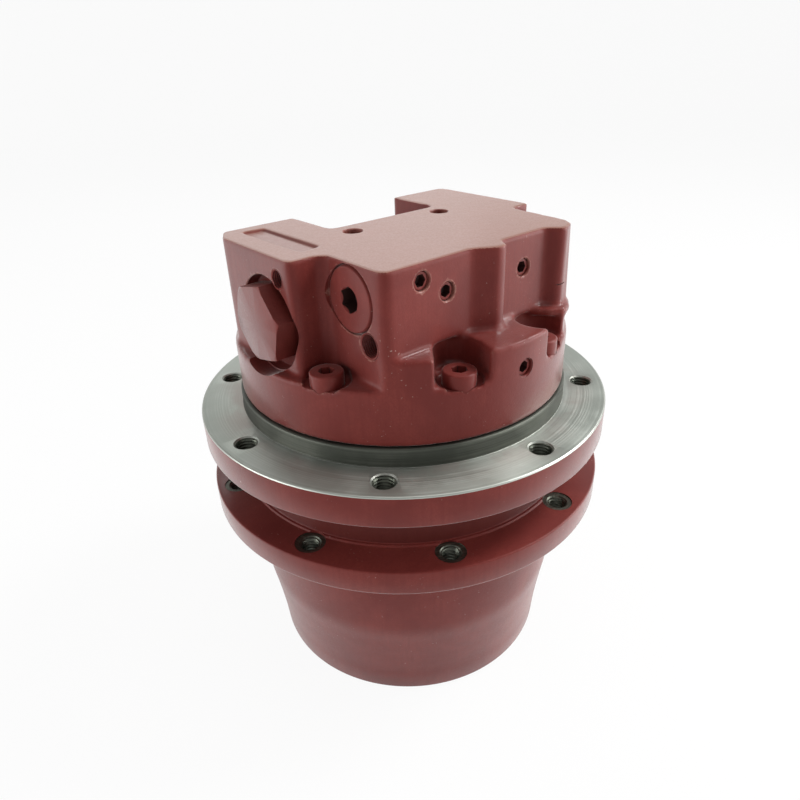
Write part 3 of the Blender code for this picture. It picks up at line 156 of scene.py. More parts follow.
# %% Outlines and profiles
def filleted(corners, steps=6):
    """Round the corners of a closed outline of (x, y, radius) points."""
    outline = []
    for index, (x, y, radius) in enumerate(corners):
        here = Vector((x, y))
        if radius == 0:
            outline.append((x, y))
            continue
        before = Vector(corners[index - 1][:2]) - here
        after = Vector(corners[(index + 1) % len(corners)][:2]) - here
        half = before.angle(after) / 2
        reach = min(radius / math.tan(half), 0.48 * before.length, 0.48 * after.length)
        inward = (before.normalized() + after.normalized()).normalized()
        centre = here + inward * (reach / math.cos(half))
        start = here + before.normalized() * reach - centre
        turn = (here + after.normalized() * reach - centre).angle_signed(start)
        for step in range(steps + 1):
            spoke = start.copy()
            spoke.rotate(Matrix.Rotation(turn * step / steps, 2))
            outline.append(tuple(centre + spoke))
    return outline


def ring_of_points(points, filled):
    """A circle primitive whose points are set on an outline of (x, y, z) points."""
    deselect_all()
    bpy.ops.mesh.primitive_circle_add(vertices=len(points), radius=1.0,
                                      fill_type="NGON" if filled else "NOTHING")
    piece = bpy.context.object
    for vertex, point in zip(piece.data.vertices, points):
        vertex.co = point
    return piece


def raised(name, outline, low, high):
    """Extrude an outline of (x, y) points from one height to another."""
    piece = ring_of_points([(x, y, low) for x, y in outline], True)
    edit_all()
    bpy.ops.mesh.extrude_region_move(TRANSFORM_OT_translate={"value": (0, 0, high - low)})
    face_outwards()
    return settle(piece, name)


def turned(name, profile, sides):
    """Spin a closed profile of (radius, height) points round the Z axis."""
    piece = ring_of_points([(r, 0, z) for r, z in profile], False)
    edit_all()
    bpy.ops.mesh.spin(steps=sides, angle=math.tau, center=(0, 0, 0), axis=(0, 0, 1))
    bpy.ops.mesh.select_all(action="SELECT")
    bpy.ops.mesh.remove_doubles(threshold=0.000005)
    bpy.ops.mesh.delete_loose(use_verts=True, use_edges=True, use_faces=False)
    face_outwards()
    return settle(piece, name)


def round_bar(name, radius, low, high, sides=48):
    """A round bar on the Z axis."""
    return turned(name, [(0, low), (radius, low), (radius, high), (0, high)], sides)


def on_circle(circle, angle):
    """Matrix that carries a mesh from the axis out to a circle."""
    return Matrix.Rotation(angle, 4, "Z") @ Matrix.Translation((circle, 0, 0))


def at_height(height):
    """Matrix that lifts a mesh."""
    return Matrix.Translation((0, 0, height))


def patterned(first, circle, angles, name):
    """Copies of a piece on a bolt circle, joined into one. The first is thrown away."""
    turns = [copied(first, on_circle(circle, angle), first.name) for angle in angles]
    thrown_away(first)
    return joined(turns, name)


def looking(way, place):
    """Matrix that turns a mesh facing +Z to face a side, and puts it at a place."""
    degrees, axis = {"front": (90, "X"), "back": (-90, "X"), "left": (-90, "Y"), "right": (90, "Y"),
                     "up": (0, "Z")}[way]
    return Matrix.Translation(place) @ Matrix.Rotation(math.radians(degrees), 4, axis)


print("square with rounded corners:",
      len(filleted([(0, 0, 0.1), (1, 0, 0.1), (1, 1, 0.1), (0, 1, 0.1)])), "points")

# %% [markdown]
# ## The sizes
# The castings take their main sizes from the CAD model, so the dressed pieces lie where the solids lie.
# A few are trimmed by a millimetre or two, where the photograph shows the real shape more closely.

# %% Sizes in metres
HUB_HEIGHT = 0.125
SPROCKET_FLANGE_LOW = 0.0915
SPROCKET_FLANGE_TOP = 0.1035
FRAME_FLANGE_LOW = 0.127
FRAME_FACE = 0.142
SPINDLE_TOP = 0.1505
BLOCK_LOW = 0.1508
BASE_TOP = 0.1755
LEDGE_TOP = 0.1883
BLOCK_TOP = 0.2228
BLOCK_RADIUS = 0.0790
LEFT_X, PLUG_X, RIGHT_X = -0.0715, -0.0555, 0.0650
STEP_Y, FRONT_Y, BACK_Y, NOTCH_Y = -0.0224, -0.0583, 0.0400, 0.0088
SCREW_ANGLES = [math.radians(angle) for angle in (-154.3, -111.3, -72.2, -33.0, 47.0, 87.0, 127.0)]
SCREW_CIRCLE = 0.0718
SPOOL_Y, SPOOL_Z = -0.0020, BASE_TOP + 0.0190
SPEED_Y, SPEED_Z = -0.0378, BASE_TOP + 0.0327
GAUGES = [(-0.0372, BASE_TOP + 0.0403), (-0.0243, BASE_TOP + 0.0333), (0.0197, BASE_TOP + 0.0330),
          (0.0, BASE_TOP + 0.0002)]
HEAD_SEAT = BASE_TOP - 0.0042
FRAME_CIRCLE, SPROCKET_CIRCLE = 0.0894, 0.0893
FRAME_HOLES = [math.radians(45 * place) for place in range(8)]
SPROCKET_HOLES = [math.radians(162.1 + 40 * place) for place in range(9)]
print("height:", BLOCK_TOP, "screws:", len(SCREW_ANGLES), "holes:", len(FRAME_HOLES), len(SPROCKET_HOLES))

# %% [markdown]
# ## The valve block, as cast
# The real block is an iron casting: a round base, an upper block with stepped sides, two ledges that
# stiffen the screw bays, a rib, and a corner post with a cast lip round its foot.
# It could be one mesh pushed into shape, but a foundry pattern is built from plain shapes too,
# so the shapes are raised one by one, joined, and then softened all over, as sand and paint do.
# The outer corner of the post is drawn out at its foot, which is the draft that lets a pattern leave the sand.

# %% Plain shapes of the casting
def arc_plate(left, right, back, radius, steps=24):
    """Outline from a straight back out to a circle on the front side."""
    start, end = -math.acos(left / radius), -math.acos(right / radius)
    arc = [start + (end - start) * step / steps for step in range(steps + 1)]
    return [(left, back)] + [(radius * math.cos(a), radius * math.sin(a)) for a in arc] + [(right, back)]


# Corners are (x, y, radius).
left_side = [(LEFT_X, STEP_Y, 0.0030), (PLUG_X, STEP_Y, 0.0050), (PLUG_X, FRONT_Y, 0.0042)]
rib = [(-0.0112, FRONT_Y, 0.0050), (-0.0020, -0.0645, 0.0034), (0.0024, -0.0640, 0.0026),
       (0.0052, FRONT_Y, 0.0014)]
post = [(0.0328, FRONT_Y, 0.0016), (0.0382, -0.0650, 0.0040), (0.0482, -0.0602, 0.0054),
        (0.0488, -0.0370, 0.0060)]
right_side = [(0.0526, STEP_Y, 0.0030), (RIGHT_X, STEP_Y, 0.0020), (RIGHT_X, BACK_Y, 0.0042),
              (0.0304, BACK_Y, 0.0014), (0.0304, NOTCH_Y, 0.0030), (-0.0304, NOTCH_Y, 0.0030),
              (-0.0304, BACK_Y, 0.0014), (-0.0662, BACK_Y, 0.0030), (LEFT_X, 0.0300, 0.0030)]
CAST_TOP = BLOCK_TOP + 0.004
UNDERCUT = BASE_TOP + 0.0113
ROOT = BASE_TOP - 0.002
DRAFT = Vector((0.0011, -0.0004, 0))
valve_block = round_bar("base", BLOCK_RADIUS, BLOCK_LOW, BASE_TOP, 160)
lower_core = raised("lower_core", filleted(left_side + [(0.0500, FRONT_Y, 0.0040)] + right_side),
                    ROOT, CAST_TOP)
upper_core = raised("upper_core", filleted(left_side + rib + post + right_side), UNDERCUT + 0.0002, CAST_TOP)
for vertex in upper_core.data.vertices:
    if vertex.co.z < UNDERCUT + 0.001 and vertex.co.x > 0.0430 and vertex.co.y < -0.0480:
        vertex.co += DRAFT
ledge_back = FRONT_Y + 0.006
ledges = [raised("ledge_one", arc_plate(PLUG_X, -0.0300, ledge_back, BLOCK_RADIUS), ROOT, LEDGE_TOP),
          raised("ledge_two", arc_plate(-0.0205, 0.0160, ledge_back, BLOCK_RADIUS), ROOT, LEDGE_TOP),
          raised("ledge_three", arc_plate(0.0250, 0.0538, -0.0500, BLOCK_RADIUS - 0.0014),
                 ROOT, UNDERCUT - 0.0004)]
bead_corners = [(0.0276, -0.0590, 0.0020), (0.0322, -0.0650, 0.0040), (0.0385, -0.0682, 0.0050),
                (0.0448, -0.0655, 0.0050), (0.0508, -0.0602, 0.0045), (0.0520, -0.0515, 0.0020),
                (0.0470, -0.0500, 0), (0.0270, -0.0500, 0)]
bead = raised("bead", filleted(bead_corners), UNDERCUT - 0.0022, UNDERCUT + 0.0013)
for shape in [lower_core] + ledges:
    carve(valve_block, shape, "UNION")
ROUND_BAY_PLACE, ROUND_BAY_RADIUS = (0.0240, -0.0676, 0), 0.0127
round_bay = round_bar("round_bay", ROUND_BAY_RADIUS, BASE_TOP, LEDGE_TOP + 0.0010)
carve(valve_block, moved(round_bay, Matrix.Translation(ROUND_BAY_PLACE)))
for shape in (upper_core, bead):
    carve(valve_block, shape, "UNION")
print("casting joined from plain shapes:", count_triangles(valve_block), "triangles")

# %% [markdown]
# The middle screw bay is cut in, and then the whole casting is softened: the Remesh modifier gives it an
# even skin of small squares, and the Smooth modifier rounds every inner and outer corner alike.
# It is done on a casting that is too tall, and the top is cut off flat afterwards, so the top edge
# stays tighter than the cast fillets below it.

# %% Soften the casting
bay_corners = [(-0.0460, -0.0745, 0), (-0.0352, -0.0620, 0.0040), (-0.0308, -0.0560, 0.0030),
               (-0.0265, -0.0533, 0.0040), (-0.0195, -0.0533, 0.0040), (-0.0152, -0.0590, 0.0040),
               (-0.0148, -0.0665, 0.0050), (-0.0170, -0.0733, 0.0030), (-0.0225, -0.0880, 0)]
bay = raised("bay", filleted(bay_corners), BASE_TOP, LEDGE_TOP)
carve(valve_block, bay)
apply_modifier(valve_block, "REMESH", mode="VOXEL", voxel_size=0.0009)
apply_modifier(valve_block, "SMOOTH", factor=0.5, iterations=9)
print("softened casting:", count_triangles(valve_block), "triangles")

# %% [markdown]
# Next come the cuts in the raw casting: the flat top, the seats of the screws and the plaque recess.
# A second, lighter pass of the same two modifiers breaks their edges as paint does.

# %% Top, seats and plaque
WIDE = 0.1
top_slab = [(-WIDE, -WIDE), (WIDE, -WIDE), (WIDE, WIDE), (-WIDE, WIDE)]
carve(valve_block, raised("top_slab", top_slab, BLOCK_TOP, BLOCK_TOP + 0.02))
seat = round_bar("seat", 0.0098, BASE_TOP - 0.0019, BASE_TOP + 0.0030, 64)
carve(valve_block, patterned(seat, SCREW_CIRCLE, SCREW_ANGLES, "seats"))
plaque_corners = [(-0.0597, -0.0128, 0.0012), (-0.0500, -0.0116, 0.0012), (-0.0506, 0.0318, 0.0012),
                  (-0.0610, 0.0328, 0.0012)]
carve(valve_block, raised("plaque", filleted(plaque_corners), BLOCK_TOP - 0.0014, BLOCK_TOP + 0.002))
apply_modifier(valve_block, "REMESH", mode="VOXEL", voxel_size=0.0008)
apply_modifier(valve_block, "SMOOTH", factor=0.5, iterations=3)
print("milled casting:", count_triangles(valve_block), "triangles")

# %% [markdown]
# Last come the machined cuts: the round scoops that clear the two hexagon caps, and the drilled holes, each
# with a small countersink. They are cut after the softening, so they keep crisp rims. The short slit in the
# corner post is a casting flaw that the photograph shows.

# %% Scoops and drilled holes
def drilled(radius, depth, chamfer, sides):
    """A drill that stands on a face at height nothing, with a countersink."""
    wide = radius + chamfer
    return turned("drill", [(0, -depth - 0.5 * radius), (radius, -depth), (radius, -chamfer), (wide, 0),
                            (wide, 0.004), (0, 0.004)], sides)


def front_face(x, z):
    """Depth of the front surface at a plug: the flat front, or the round ledge below it."""
    return FRONT_Y if z > LEDGE_TOP else -math.sqrt(BLOCK_RADIUS ** 2 - x ** 2) + 0.0003


CAP_RECESS = 0.0055
SCOOP_RADIUS, SCOOP_CENTRE = 0.0202, (SPOOL_Y + 0.0004, SPOOL_Z - 0.0013)
left_floor, right_floor = LEFT_X + CAP_RECESS, RIGHT_X - CAP_RECESS
scoop_section = [(0, 0), (SCOOP_RADIUS - 0.0016, 0), (SCOOP_RADIUS - 0.0005, 0.0005), (SCOOP_RADIUS, 0.0016),
                 (SCOOP_RADIUS, CAP_RECESS - 0.0004), (SCOOP_RADIUS + 0.0004, CAP_RECESS),
                 (SCOOP_RADIUS + 0.0004, 0.02), (0, 0.02)]
for way, floor in (("left", left_floor), ("right", right_floor)):
    carve(valve_block, moved(turned("scoop", scoop_section, 128), looking(way, (floor, *SCOOP_CENTRE))))
SIDE_RADIUS, PILOT_RADIUS, TOP_RADIUS, MAIN_RADIUS, DRAIN_RADIUS = 0.0040, 0.0052, 0.0043, 0.0095, 0.0055
gauge_faces = [("front", (x, front_face(x, z), z)) for x, z in GAUGES]
left_hole = ("left", (LEFT_X, -0.0128, BASE_TOP + 0.0387))
pilot_port = ("left", (PLUG_X, -0.0483, BASE_TOP + 0.0169))
top_holes = [("up", (side, SPOOL_Y, BLOCK_TOP)) for side in (-0.0265, 0.0242)]
speed_face = ("left", (PLUG_X, SPEED_Y, SPEED_Z))
spool_bores = [("left", (left_floor, SPOOL_Y, SPOOL_Z)), ("right", (right_floor, SPOOL_Y, SPOOL_Z))]
main_ports = [("back", (side, NOTCH_Y, SPOOL_Z)) for side in (-0.0150, 0.0150)]
drain_port = ("back", (0, NOTCH_Y, (BASE_TOP + BLOCK_TOP) / 2 + 0.014))
# Each row is a list of (way, place) spots, then radius, depth, countersink and sides.
holes = [(gauge_faces, 0.0039, 0.0100, 0.0004, 40), ([left_hole], SIDE_RADIUS, 0.0100, 0.0004, 40),
         ([pilot_port], PILOT_RADIUS, 0.0140, 0.0005, 40), (top_holes, TOP_RADIUS, 0.0140, 0.0004, 40),
         ([speed_face], 0.0138, 0.0093, 0.0002, 72), (spool_bores, 0.0133, 0.0173, 0.0006, 64),
         (main_ports, MAIN_RADIUS, 0.0105, 0.0008, 56), ([drain_port], DRAIN_RADIUS, 0.0120, 0.0006, 40)]
for spots, radius, depth, countersink, sides in holes:
    for spot in spots:
        carve(valve_block, moved(drilled(radius, depth, countersink, sides), looking(*spot)))
flaw_points = [(0.0358, -0.0645), (0.0380, -0.0675), (0.0428, -0.0655), (0.0418, -0.0618), (0.0395, -0.0615),
               (0.0378, -0.0622)]
carve(valve_block, raised("flaw", flaw_points, BASE_TOP + 0.0222, BASE_TOP + 0.0227))
head_bore = round_bar("head_bore", 0.00715, HEAD_SEAT, BASE_TOP, 64)
carve(valve_block, patterned(head_bore, SCREW_CIRCLE, SCREW_ANGLES, "head_bores"))
smoothed(valve_block, 32)
valve_block.name = "valve_block_casting"
print("valve block:", count_triangles(valve_block), "triangles")

# %% [markdown]
# ## The spindle with its frame flange
# The spindle comes off a lathe, so it is one section spun round the axis. Its flange is bare metal on top,
# where the track frame bolts on, and painted on the rim. The corners are eased in the section itself:
# on the real part these eased edges are what catches the light.

# %% Spindle on the lathe
FINE_SIDES = 180
spindle_section = [
    (0.0800, SPINDLE_TOP, 0.0009), (0.0800, FRAME_FACE, 0.0005), (0.1000, FRAME_FACE, 0.0008),
    (0.1000, FRAME_FLANGE_LOW, 0.0010), (0.0722, FRAME_FLANGE_LOW, 0.0004), (0.0722, 0.1320, 0),
    (0.0600, 0.1320, 0), (0.0600, 0.1088, 0.0005), (0.0497, 0.1088, 0), (0.0497, 0.0680, 0.0006),
    (0.0096, 0.0680, 0), (0.0096, 0.0724, 0), (0.0153, 0.0724, 0), (0.0153, 0.0840, 0), (0.0445, 0.0840, 0),
    (0.0445, SPINDLE_TOP, 0.0004)]
spindle = turned("spindle", filleted(spindle_section, 3), FINE_SIDES)
THREAD_RADIUS, SPROCKET_RADIUS = 0.0050, 0.0043


def drill_round(piece, circle, angles, height, radius, depth, chamfer, sides):
    """Drill the same hole at several angles of a bolt circle, downwards from a height."""
    first = moved(drilled(radius, depth, chamfer, sides), at_height(height))
    carve(piece, patterned(first, circle, angles, "drills"))


drill_round(spindle, FRAME_CIRCLE, FRAME_HOLES, FRAME_FACE, THREAD_RADIUS, 0.0160, 0.0006, 40)
drill_round(spindle, SCREW_CIRCLE, SCREW_ANGLES, SPINDLE_TOP, 0.0043, 0.0140, 0.0003, 16)
pin_bore = round_bar("pin_bore", 0.0083, 0.0670, 0.0790, 24)
PIN_ANGLES = [math.radians(90 + 120 * place) for place in range(3)]
carve(spindle, patterned(pin_bore, 0.0390, PIN_ANGLES, "pin_bores"))
carve(spindle, moved(round_bar("speed_bore", 0.0063, 0.0737, 0.0850, 24), on_circle(0.0260, math.radians(-90))))
print("spindle:", count_triangles(spindle), "triangles")

# %% [markdown]
# ## The hub with its sprocket flange
# The hub is a casting turned on its flange and neck. Seen from the side its cup swells slightly from the
# lower rim to a soft shoulder, and a wide fillet carries the flange. Shallow spot faces surround the holes.

# %% Hub on the lathe
hub_section = [
    (0.0738, 0.0, 0.0018), (0.0750, 0.0150, 0.1500), (0.0765, 0.0270, 0.1500), (0.0781, 0.0380, 0.1500),
    (0.0797, 0.0470, 0.1500), (0.0806, 0.0700, 0.1500), (0.0812, 0.0850, 0.0100),
    (0.0840, SPROCKET_FLANGE_LOW, 0.0040),
    (0.0995, SPROCKET_FLANGE_LOW, 0.0010), (0.0995, SPROCKET_FLANGE_TOP, 0.0008),
    (0.0842, SPROCKET_FLANGE_TOP, 0.0003), (0.0836, SPROCKET_FLANGE_TOP + 0.0008, 0.0003),
    (0.0825, SPROCKET_FLANGE_TOP + 0.0008, 0.0008), (0.0825, HUB_HEIGHT, 0.0010), (0.0722, HUB_HEIGHT, 0.0004),
    (0.0722, 0.1105, 0), (0.0673, 0.1105, 0), (0.0673, 0.0952, 0), (0.0625, 0.0952, 0), (0.0625, 0.0898, 0),
    (0.0673, 0.0898, 0), (0.0673, 0.0671, 0), (0.0678, 0.0671, 0), (0.0678, 0.0110, 0), (0.0686, 0.0110, 0),
    (0.0686, 0.0028, 0), (0.0704, 0.0028, 0), (0.0704, 0.0010, 0), (0.0686, 0.0010, 0), (0.0686, 0.0, 0.0006)]
hub = turned("hub", filleted(hub_section, 4), FINE_SIDES)
SPOT_FLOOR = SPROCKET_FLANGE_TOP - 0.0004
spot = round_bar("spot", 0.0068, SPOT_FLOOR, SPROCKET_FLANGE_TOP + 0.0060)
carve(hub, patterned(spot, SPROCKET_CIRCLE, SPROCKET_HOLES, "spots"))
drill_round(hub, SPROCKET_CIRCLE, SPROCKET_HOLES, SPOT_FLOOR, SPROCKET_RADIUS, 0.0140, 0.0005, 40)
for piece in (spindle, hub):
    smoothed(piece, 32)
print("hub:", count_triangles(hub), "triangles")

# %% [markdown]
# ## Threads
# The flange holes are tapped, and the turns of the thread catch the light in every hole that the camera
# looks into. A thread could be a bump pattern, but a hole is seen from a slant, so the turns are real.
# A flat grid is rolled into a tube whose inner wall winds up and down once per pitch, and a plain outer
# wall, hidden in the metal, closes it.

# %% Rolling a thread
def thread(name, radius, pitch, depth, turn_depth=0.0006, sides=28):
    """A tube with a thread inside, its upper end at height nothing, reaching down."""

    def crest(height, angle):
        """Distance from the axis to the thread's wall."""
        phase = (height / pitch - angle / math.tau) % 1.0
        return radius - turn_depth * (1 - abs(2 * phase - 1))

    rows = max(6, round(6 * depth / pitch))
    deselect_all()
    bpy.ops.mesh.primitive_grid_add(x_subdivisions=sides, y_subdivisions=rows + 3, size=1.0)
    piece = bpy.context.object
    for index, vertex in enumerate(piece.data.vertices):
        row, column = divmod(index, sides + 1)
        angle = math.tau * column / sides
        if row <= rows:
            height = -depth * (1 - row / rows)
            distance = crest(height, angle)
        else:
            height = 0 if row == rows + 1 else -depth
            distance = crest(height, angle) if row == rows + 3 else radius + 0.0002
        vertex.co = (distance * math.cos(angle), distance * math.sin(angle), height)
    edit_all()
    bpy.ops.mesh.remove_doubles(threshold=0.000002)
    face_outwards()
    return smoothed(settle(piece, name), 50)


COARSE, MEDIUM, FINE = 0.00150, 0.00125, 0.00100


def threads_on_circle(name, radius, circle, angles, top, depth):
    """One thread, copied into every hole of a bolt circle."""
    first = moved(thread("thread", radius, COARSE, depth), at_height(top))
    return patterned(first, circle, angles, name)


frame_threads = threads_on_circle("frame_threads", THREAD_RADIUS, FRAME_CIRCLE, FRAME_HOLES,
                                  FRAME_FACE - 0.0006, 0.0140)
sprocket_threads = threads_on_circle("sprocket_threads", SPROCKET_RADIUS, SPROCKET_CIRCLE, SPROCKET_HOLES,
                                     SPOT_FLOOR - 0.0005, 0.0107)
# Each row is a list of spots, then radius, pitch, upper end and depth.
tapped = [([pilot_port], PILOT_RADIUS, FINE, 0, 0.0120), ([left_hole], SIDE_RADIUS, FINE, 0, 0.0090),
          (top_holes, TOP_RADIUS, MEDIUM, -0.0025, 0.0100), (main_ports, MAIN_RADIUS, COARSE, 0, 0.0090),
          ([drain_port], DRAIN_RADIUS, FINE, 0, 0.0110)]
port_threads = [moved(thread("port_thread", radius, pitch, depth), looking(*spot) @ at_height(top))
                for spots, radius, pitch, top, depth in tapped for spot in spots]
block_threads = joined(port_threads, "block_threads")
print("threads:", [count_triangles(piece) for piece in (frame_threads, sprocket_threads, block_threads)])

# %% [markdown]
# ## Screws, plugs and caps
# Seven cap screws hold the block down, and all are painted over. One is turned and gets its hexagon socket,
# and copies of it go to the seven places, each turned a little differently, as a fitter leaves them.
# The small pressure plugs sit a little below the face of the block, so the rim of the hole shows round them.

# %% Hexagons and screws
def hexagon(across_flats, turn, ease):
    """Outline of a hexagon with slightly eased corners."""
    corner = across_flats / math.sqrt(3)
    angles = [turn + math.tau * side / 6 for side in range(6)]
    return filleted([(corner * math.cos(a), corner * math.sin(a), ease) for a in angles], 3)


def socketed(name, section, across_flats, depth, sides=64):
    """A turned fastener that faces +Z, with a hexagon socket sunk in its upper end at height nothing."""
    body = turned(name, section, sides)
    bottom = turned("drill_point", [(0, -depth - 0.25 * across_flats), (0.48 * across_flats, -depth + 0.0001),
                                    (0.48 * across_flats, 0.002), (0, 0.002)], 32)
    carve(body, raised("socket", hexagon(across_flats, 0, 0.0002), -depth, 0.002))
    carve(body, bottom)
    lead_in = 0.53 * across_flats
    return carve(body, turned("lead_in", [(0, -0.0010), (lead_in - 0.0008, -0.0010), (lead_in + 0.0003, 0.0004),
                                          (0, 0.0004)], 32))


HEAD_TOP = HEAD_SEAT + 0.0003 + 0.0080
screw_section = filleted([(0, 0, 0), (0.0070, 0, 0.0009), (0.0070, -0.0080, 0.0004), (0.0040, -0.0080, 0.0003),
                          (0.0040, -0.0421, 0.0005), (0, -0.0421, 0)], 4)
cap_screw = socketed("cap_screw", screw_section, across_flats=0.0060, depth=0.0036)
screws = []
for index, angle in enumerate(SCREW_ANGLES):
    turn = Matrix.Rotation(math.radians(37 * index + 11), 4, "Z")
    place = on_circle(SCREW_CIRCLE, angle) @ at_height(HEAD_TOP) @ turn
    screws.append(copied(cap_screw, place, f"cap_screw_{index + 1}"))
thrown_away(cap_screw)

plug_section = filleted([(0, 0, 0), (0.0037, 0, 0.0004), (0.0037, -0.0060, 0.0004), (0, -0.0060, 0)], 3)
small_plug = socketed("small_plug", plug_section, across_flats=0.0046, depth=0.0034, sides=40)
gauge_plugs = []
PLUG_DEPTH = 0.0012
for index, (way, place) in enumerate(gauge_faces):
    spot = looking(way, place) @ at_height(-PLUG_DEPTH) @ Matrix.Rotation(0.5 * index, 4, "Z")
    gauge_plugs.append(copied(small_plug, spot, f"small_plug_{index + 1}"))
thrown_away(small_plug)

speed_section = filleted([(0, 0.0004, 0), (0.0127, 0.0004, 0.0006), (0.0135, -0.0014, 0.0004),
                          (0.0135, -0.0090, 0.0004), (0, -0.0090, 0)], 4)
speed_plug = socketed("speed_plug", speed_section, across_flats=0.0094, depth=0.0058, sides=96)
moved(speed_plug, looking(*speed_face))
print("screws:", len(screws), "small plugs:", len(gauge_plugs), "triangles each:", count_triangles(screws[0]))

# %% [markdown]
# The two large hexagon caps close the bore across the block. Each is a hexagon bar with a chamfered
# face, which is what is left when a bar is faced on a lathe: the hexagon is cut by a cone.

# %% Hexagon caps
CAP_FLATS, CAP_TURN, CAP_HEIGHT = 0.0305, math.radians(103), 0.0112


def hexagon_cap(name):
    """A hexagon cap that faces +Z, its seat at height nothing, with a hollow shank below."""
    head = raised(name, hexagon(CAP_FLATS, CAP_TURN, 0.0006), -0.0002, CAP_HEIGHT)
    cone = turned("cone", [(0, -0.001), (0.0190, -0.001), (0.0190, CAP_HEIGHT - 0.0014), (0.0160, CAP_HEIGHT),
                           (0, CAP_HEIGHT)], 96)
    carve(head, cone, "INTERSECT")
    shank = turned("shank", [(0, 0.0005), (0.0130, 0.0005), (0.0130, -0.0165), (0.0125, -0.0170),
                             (0.0085, -0.0170), (0.0085, -0.0010), (0, -0.0010)], 64)
    carve(head, shank, "UNION")
    apply_modifier(head, "BEVEL", width=0.0005, segments=2, limit_method="ANGLE", angle_limit=math.radians(40))
    return head


caps = [moved(hexagon_cap("cap_left"), looking("left", (left_floor - 0.0003, SPOOL_Y, SPOOL_Z))),
        moved(hexagon_cap("cap_right"), looking("right", (right_floor + 0.0003, SPOOL_Y, SPOOL_Z)))]
for piece in screws + gauge_plugs + caps + [speed_plug]:
    smoothed(piece, 35)
print("cap:", count_triangles(caps[0]), "triangles")

# %% [markdown]
# Each dressed piece now takes the place of its solid and rides on the same body.

# %% Places on the bodies
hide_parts("valve_block")
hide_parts("spindle_housing")
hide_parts("hub_housing")
for index, piece in enumerate(screws):
    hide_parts(f"block_screw_{index + 1}")
for index, piece in enumerate(gauge_plugs):
    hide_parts(f"gauge_plug_{index + 1}")
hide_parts("counterbalance_cap_left")
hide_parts("counterbalance_cap_right")
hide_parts("two_speed_plug")
spindle.name, hub.name = "spindle_casting", "hub_casting"
for piece in [valve_block, spindle, frame_threads, block_threads, speed_plug] + screws + gauge_plugs + caps:
    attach(piece, "spindle")
for piece in (hub, sprocket_threads):
    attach(piece, "hub")

# %% [markdown]
# ## Finishes
# Every finish is built from nodes that read the piece's own Object coordinates, in metres, so grain and
# scratches have their real size. A small helper adds a node and fills its sockets in one line.

# %% A node helper
def add(tree, kind, sockets=None, **settings):
    """Add a node, set its values, and fill its sockets with constants or with other nodes' outputs."""
    item = tree.nodes.new("ShaderNode" + kind)
    for key, value in settings.items():
        setattr(item, key, value)
    for key, value in (sockets or {}).items():
        if isinstance(value, bpy.types.NodeSocket):
            tree.links.new(value, item.inputs[key])
        else:
            item.inputs[key].default_value = value
    return item


def noise(tree, place, scale, detail=3.0, rough=0.5, distortion=0.0):
    """A noise pattern of so many patches per metre."""
    return add(tree, "TexNoise", {"Vector": place, "Scale": scale, "Detail": detail, "Roughness": rough,
                                  "Distortion": distortion}).outputs["Fac"]


def math_node(tree, operation, first, second, clamp=False):
    """One calculation with two values."""
    return add(tree, "Math", {0: first, 1: second}, operation=operation, use_clamp=clamp).outputs[0]


def times(tree, first, second, clamp=False):
    """The product of two values."""
    return math_node(tree, "MULTIPLY", first, second, clamp)


def between(tree, value, low, high, start=0.0, end=1.0):
    """A smooth step of a value from start to end."""
    sockets = {"Value": value, "From Min": low, "From Max": high, "To Min": start, "To Max": end}
    return add(tree, "MapRange", sockets, interpolation_type="SMOOTHSTEP").outputs["Result"]


def mixed(tree, mask, under, over):
    """Two colours blended by a mask."""
    return add(tree, "Mix", {0: mask, 6: under, 7: over}, data_type="RGBA").outputs[2]


def feed(tree, value, item, socket):
    """Link an output to a named input."""
    tree.links.new(value, item.inputs[socket])


def effect(name, outputs, inputs):
    """An empty node group with number outputs, and number inputs with their default values."""
    group = bpy.data.node_groups.new(name, "ShaderNodeTree")
    for label in outputs:
        group.interface.new_socket(name=label, in_out="OUTPUT", socket_type="NodeSocketFloat")
    for label, value in inputs:
        socket = group.interface.new_socket(name=label, in_out="INPUT", socket_type="NodeSocketFloat")
        socket.default_value = value
    return group, group.nodes.new("NodeGroupInput").outputs, group.nodes.new("NodeGroupOutput")


def use(tree, group, **values):
    """Place an effect in a material with its own values."""
    item = tree.nodes.new("ShaderNodeGroup")
    item.node_tree = group
    for key, value in values.items():
        item.inputs[key].default_value = value
    return item.outputs


print("node helpers ready, groups so far:", len(bpy.data.node_groups))

# %% [markdown]
# The paint on the real drive is a thin red-brown coat over rough iron. Two effects carry it. The first is
# the skin of the casting: pebbles from the moulding sand, fine grain, large patches, runs, dust and speckle.

# %% Effect: cast skin
cast_skin, skin_in, skin_out = effect("cast_skin", ["Height", "Patches", "Runs", "Dust", "Speckle"],
                                      [("Pebbles", 0.6), ("Grain", 0.4)])
place = add(cast_skin, "TexCoord").outputs["Object"]
pebbles = times(cast_skin, noise(cast_skin, place, 210.0, 4.0, 0.55), skin_in["Pebbles"])
grain = times(cast_skin, noise(cast_skin, place, 1300.0, 3.0, 0.6), skin_in["Grain"])
feed(cast_skin, math_node(cast_skin, "ADD", pebbles, grain), skin_out, "Height")
patches = noise(cast_skin, place, 34.0, 5.0, 0.6, 0.4)
feed(cast_skin, between(cast_skin, patches, 0.32, 0.68), skin_out, "Patches")
stretched = add(cast_skin, "Mapping", {"Vector": place, "Scale": (620.0, 620.0, 30.0)}).outputs["Vector"]
feed(cast_skin, between(cast_skin, noise(cast_skin, stretched, 1.0, 3.0), 0.42, 0.72), skin_out, "Runs")
specks = between(cast_skin, noise(cast_skin, place, 900.0, 2.0), 0.69, 0.76)
drifts = between(cast_skin, noise(cast_skin, place, 60.0, 2.0), 0.50, 0.66)
feed(cast_skin, times(cast_skin, specks, drifts), skin_out, "Dust")
